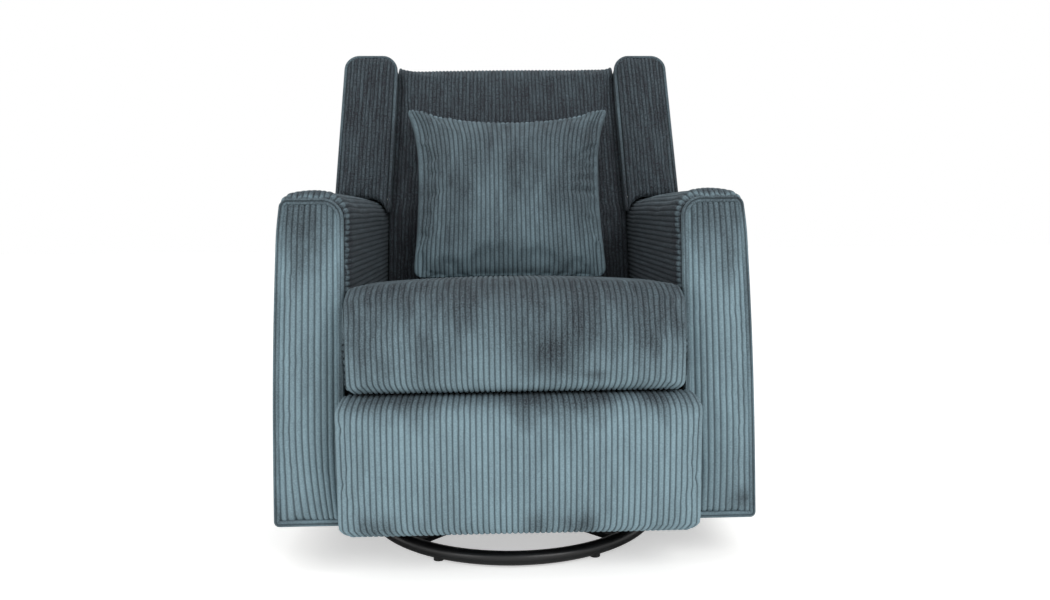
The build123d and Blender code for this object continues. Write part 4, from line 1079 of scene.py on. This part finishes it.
# Zinc-plated steel: dull bright metal with a faint mottled spangle
zincLook = {"bright": "#B9BCBE", "dull": "#8E9295", "spangleMm": 6.0}


def makeZincSteel():
    material, tree, shader = newMaterial("zincPlatedSteel")
    place = addNode(tree, "ShaderNodeTexCoord").outputs["Object"]
    spangle = addNode(tree, "ShaderNodeTexVoronoi", {
        "Vector": place, "Scale": 1000 / zincLook["spangleMm"]}).outputs["Distance"]
    rough = addNode(tree, "ShaderNodeMapRange", {
        "Value": spangle, "To Min": 0.28, "To Max": 0.5}).outputs[0]
    colour = addNode(tree, "ShaderNodeMix", {
        0: spangle, 6: hexColour(zincLook["bright"]), 7: hexColour(zincLook["dull"])},
        data_type="RGBA").outputs[2]
    setInputs(tree, shader, {"Base Color": colour, "Roughness": rough, "Metallic": 1.0})
    return material


# Beech and ply frame timber, sawn: pale, with long fine grain
timberLook = {"late": "#A98358", "early": "#D2B183", "grainMm": 5.0, "grainStretch": 0.08}


def makeTimber():
    material, tree, shader = newMaterial("sawnBeech")
    place = addNode(tree, "ShaderNodeTexCoord").outputs["Object"]
    stretched = addNode(tree, "ShaderNodeMapping", {
        "Vector": place, "Scale": (1.0, timberLook["grainStretch"], 1.0)}).outputs[0]
    grain = addNode(tree, "ShaderNodeTexNoise", {
        "Vector": stretched, "Scale": 1000 / timberLook["grainMm"], "Detail": 5.0,
        "Distortion": 0.4}).outputs["Fac"]
    colour = addNode(tree, "ShaderNodeMix", {
        0: grain, 6: hexColour(timberLook["late"]), 7: hexColour(timberLook["early"])},
        data_type="RGBA").outputs[2]
    bump = addNode(tree, "ShaderNodeBump", {
        "Height": grain, "Strength": 0.2, "Distance": 0.6 * mm}).outputs[0]
    setInputs(tree, shader, {"Base Color": colour, "Roughness": 0.7, "Normal": bump})
    return material


# Black polypropylene glides, moulded: satin with a fine grain
glideLook = {"deep": "#121213", "pale": "#202022", "grainMm": 1.2}


def makePlastic():
    material, tree, shader = newMaterial("mouldedPolypropylene")
    place = addNode(tree, "ShaderNodeTexCoord").outputs["Object"]
    grain = addNode(tree, "ShaderNodeTexNoise", {
        "Vector": place, "Scale": 1000 / glideLook["grainMm"], "Detail": 2.0}).outputs["Fac"]
    colour = addNode(tree, "ShaderNodeMix", {
        0: grain, 6: hexColour(glideLook["deep"]), 7: hexColour(glideLook["pale"])},
        data_type="RGBA").outputs[2]
    bump = addNode(tree, "ShaderNodeBump", {
        "Height": grain, "Strength": 0.2, "Distance": 0.4 * mm}).outputs[0]
    setInputs(tree, shader, {"Base Color": colour, "Roughness": 0.55, "Normal": bump})
    return material


# Black cambric, woven, wrapped round the timber that shows in the gaps: matt, with threads drawn as faint
# stripes, far coarser than real ones, so that they show; it is partly painted shade, black so that the gaps
# look as dark as the shade in them
gapShadeCambricLook = {"deep": "#0C0D0E", "pale": "#191B1D", "stripeMm": 6.283}


def makeGapShadeCambric():
    material, tree, shader = newMaterial("blackGapShadeCambric")
    place = addNode(tree, "ShaderNodeTexCoord").outputs["Object"]
    stripeScale = 1000 * math.pi / 10 / gapShadeCambricLook["stripeMm"]  # the wave has a stripe each pi / 10
    threads = addNode(tree, "ShaderNodeTexWave", {
        "Vector": place, "Scale": stripeScale, "Distortion": 0.6}).outputs["Fac"]
    colour = addNode(tree, "ShaderNodeMix", {
        0: threads, 6: hexColour(gapShadeCambricLook["deep"]), 7: hexColour(gapShadeCambricLook["pale"])},
        data_type="RGBA").outputs[2]
    setInputs(tree, shader, {"Base Color": colour, "Roughness": 0.95})
    return material


finishes = {
    "black_steel": makeBlackSteel(), "zinc_steel": makeZincSteel(), "wood": makeTimber(),
    "plastic_glide": makePlastic(), "spring_steel": makeZincSteel(), "gapShadeCambric": makeGapShadeCambric(),
}
nodeFinish = {
    "plastic_glide": ["ring_glides"],
    "zinc_steel": ["swivel_lower_race", "swivel_spindle", "swivel_balls", "base_bolts", "swivel_upper_race",
                   "carriage_bolts", "glide_upper_pins", "glide_lower_pins", "torque_shaft"],
    "spring_steel": ["seat_springs", "back_springs"],
    "wood": ["seat_rear_rail"],
    "gapShadeCambric": ["seat_front_rail", "seat_side_rails", "arm_frame_left", "arm_frame_right", "footrest_board",
                "rear_board", "back_rails", "back_stiles"],
}
finishOf = {name: finish for finish, names in nodeFinish.items() for name in names}
for name, part in nodes.items():
    for materialSlot in part.material_slots:
        materialSlot.material = finishes[finishOf.get(name, "black_steel")]
print("frame finishes set")

# Floor, light and camera
studio = {
    "floor": "#F4F4F2", "floorGlow": 0.5, "floorSize": 9.0, "worldStrength": 0.62, "aim": (0.0, 0.0, 0.4),
    "lamps": (("keyLamp", (1.3, -2.2, 2.1), 1.6, 28.0), ("fillLamp", (-1.8, -1.8, 1.4), 1.6, 11.0),
              ("topLamp", (0.0, 0.2, 2.6), 1.8, 12.0)),
}
white = (1.0, 1.0, 1.0, 1.0)
bm = bmesh.new()
bmesh.ops.create_grid(bm, x_segments=1, y_segments=1, size=studio["floorSize"])
floorMesh = bpy.data.meshes.new("studioFloor")
bm.to_mesh(floorMesh)
bm.free()
floor = bpy.data.objects.new("studioFloor", floorMesh)
bpy.context.scene.collection.objects.link(floor)
floor.location.z = -0.5 * mm
floorPaint, floorTree, floorShader = newMaterial("palePaintedFloor")
# seen straight on, the floor glows a little, so that it meets the white behind it and keeps the shadow
floorRays = addNode(floorTree, "ShaderNodeLightPath").outputs["Is Camera Ray"]
floorGlow = addNode(floorTree, "ShaderNodeMath", {
    0: floorRays, 1: studio["floorGlow"]}, operation="MULTIPLY").outputs[0]
setInputs(floorTree, floorShader, {
    "Base Color": hexColour(studio["floor"]), "Roughness": 0.9, "Emission Color": white,
    "Emission Strength": floorGlow})
floorMesh.materials.append(floorPaint)

world = bpy.data.worlds.new("studioWorld")
world.use_nodes = True
worldTree = world.node_tree
rays = addNode(worldTree, "ShaderNodeLightPath").outputs
seen = addNode(worldTree, "ShaderNodeMath", {
    0: rays["Is Camera Ray"], 1: rays["Is Glossy Ray"]}, operation="MAXIMUM").outputs[0]
seenAll = addNode(worldTree, "ShaderNodeMath", {
    0: seen, 1: rays["Is Transmission Ray"]}, operation="MAXIMUM").outputs[0]
strength = addNode(worldTree, "ShaderNodeMapRange", {
    "Value": seenAll, "To Min": studio["worldStrength"], "To Max": 1.0}).outputs[0]
setInputs(worldTree, worldTree.nodes["Background"], {"Strength": strength, "Color": white})
bpy.context.scene.world = world

for name, spot, size, power in studio["lamps"]:
    lamp = bpy.data.lights.new(name, "AREA")
    lamp.shape = "DISK"
    lamp.size = size
    lamp.energy = power
    holder = bpy.data.objects.new(name, lamp)
    holder.location = spot
    holder.rotation_euler = (Vector(studio["aim"]) - Vector(spot)).to_track_quat("-Z", "Y").to_euler()
    bpy.context.scene.collection.objects.link(holder)

view = {"eye": (-38.5, -1617.4, 605.6), "yaw": -0.0397, "pitch": -0.1156, "roll": -0.0069, "lens": 28.886}
ahead = Vector((-math.sin(view["yaw"]), math.cos(view["yaw"]), 0))
level = Vector((math.cos(view["yaw"]), math.sin(view["yaw"]), 0))
forward = ahead * math.cos(view["pitch"]) + Vector((0, 0, 1)) * math.sin(view["pitch"])
upward = -ahead * math.sin(view["pitch"]) + Vector((0, 0, 1)) * math.cos(view["pitch"])
rightward = level * math.cos(view["roll"]) + upward * math.sin(view["roll"])
upright = -level * math.sin(view["roll"]) + upward * math.cos(view["roll"])
camera = bpy.data.cameras.new("photoCamera")
camera.sensor_fit = "HORIZONTAL"
camera.sensor_width = 36.0
camera.lens = view["lens"]
cameraHolder = bpy.data.objects.new("photoCamera", camera)
turn = Matrix((rightward, upright, -forward)).transposed()
cameraHolder.matrix_world = Matrix.Translation(Vector(view["eye"]) * mm) @ turn.to_4x4()
bpy.context.scene.collection.objects.link(cameraHolder)
bpy.context.scene.camera = cameraHolder
bpy.context.scene.view_settings.view_transform = "Standard"
print("floor, light and camera set")
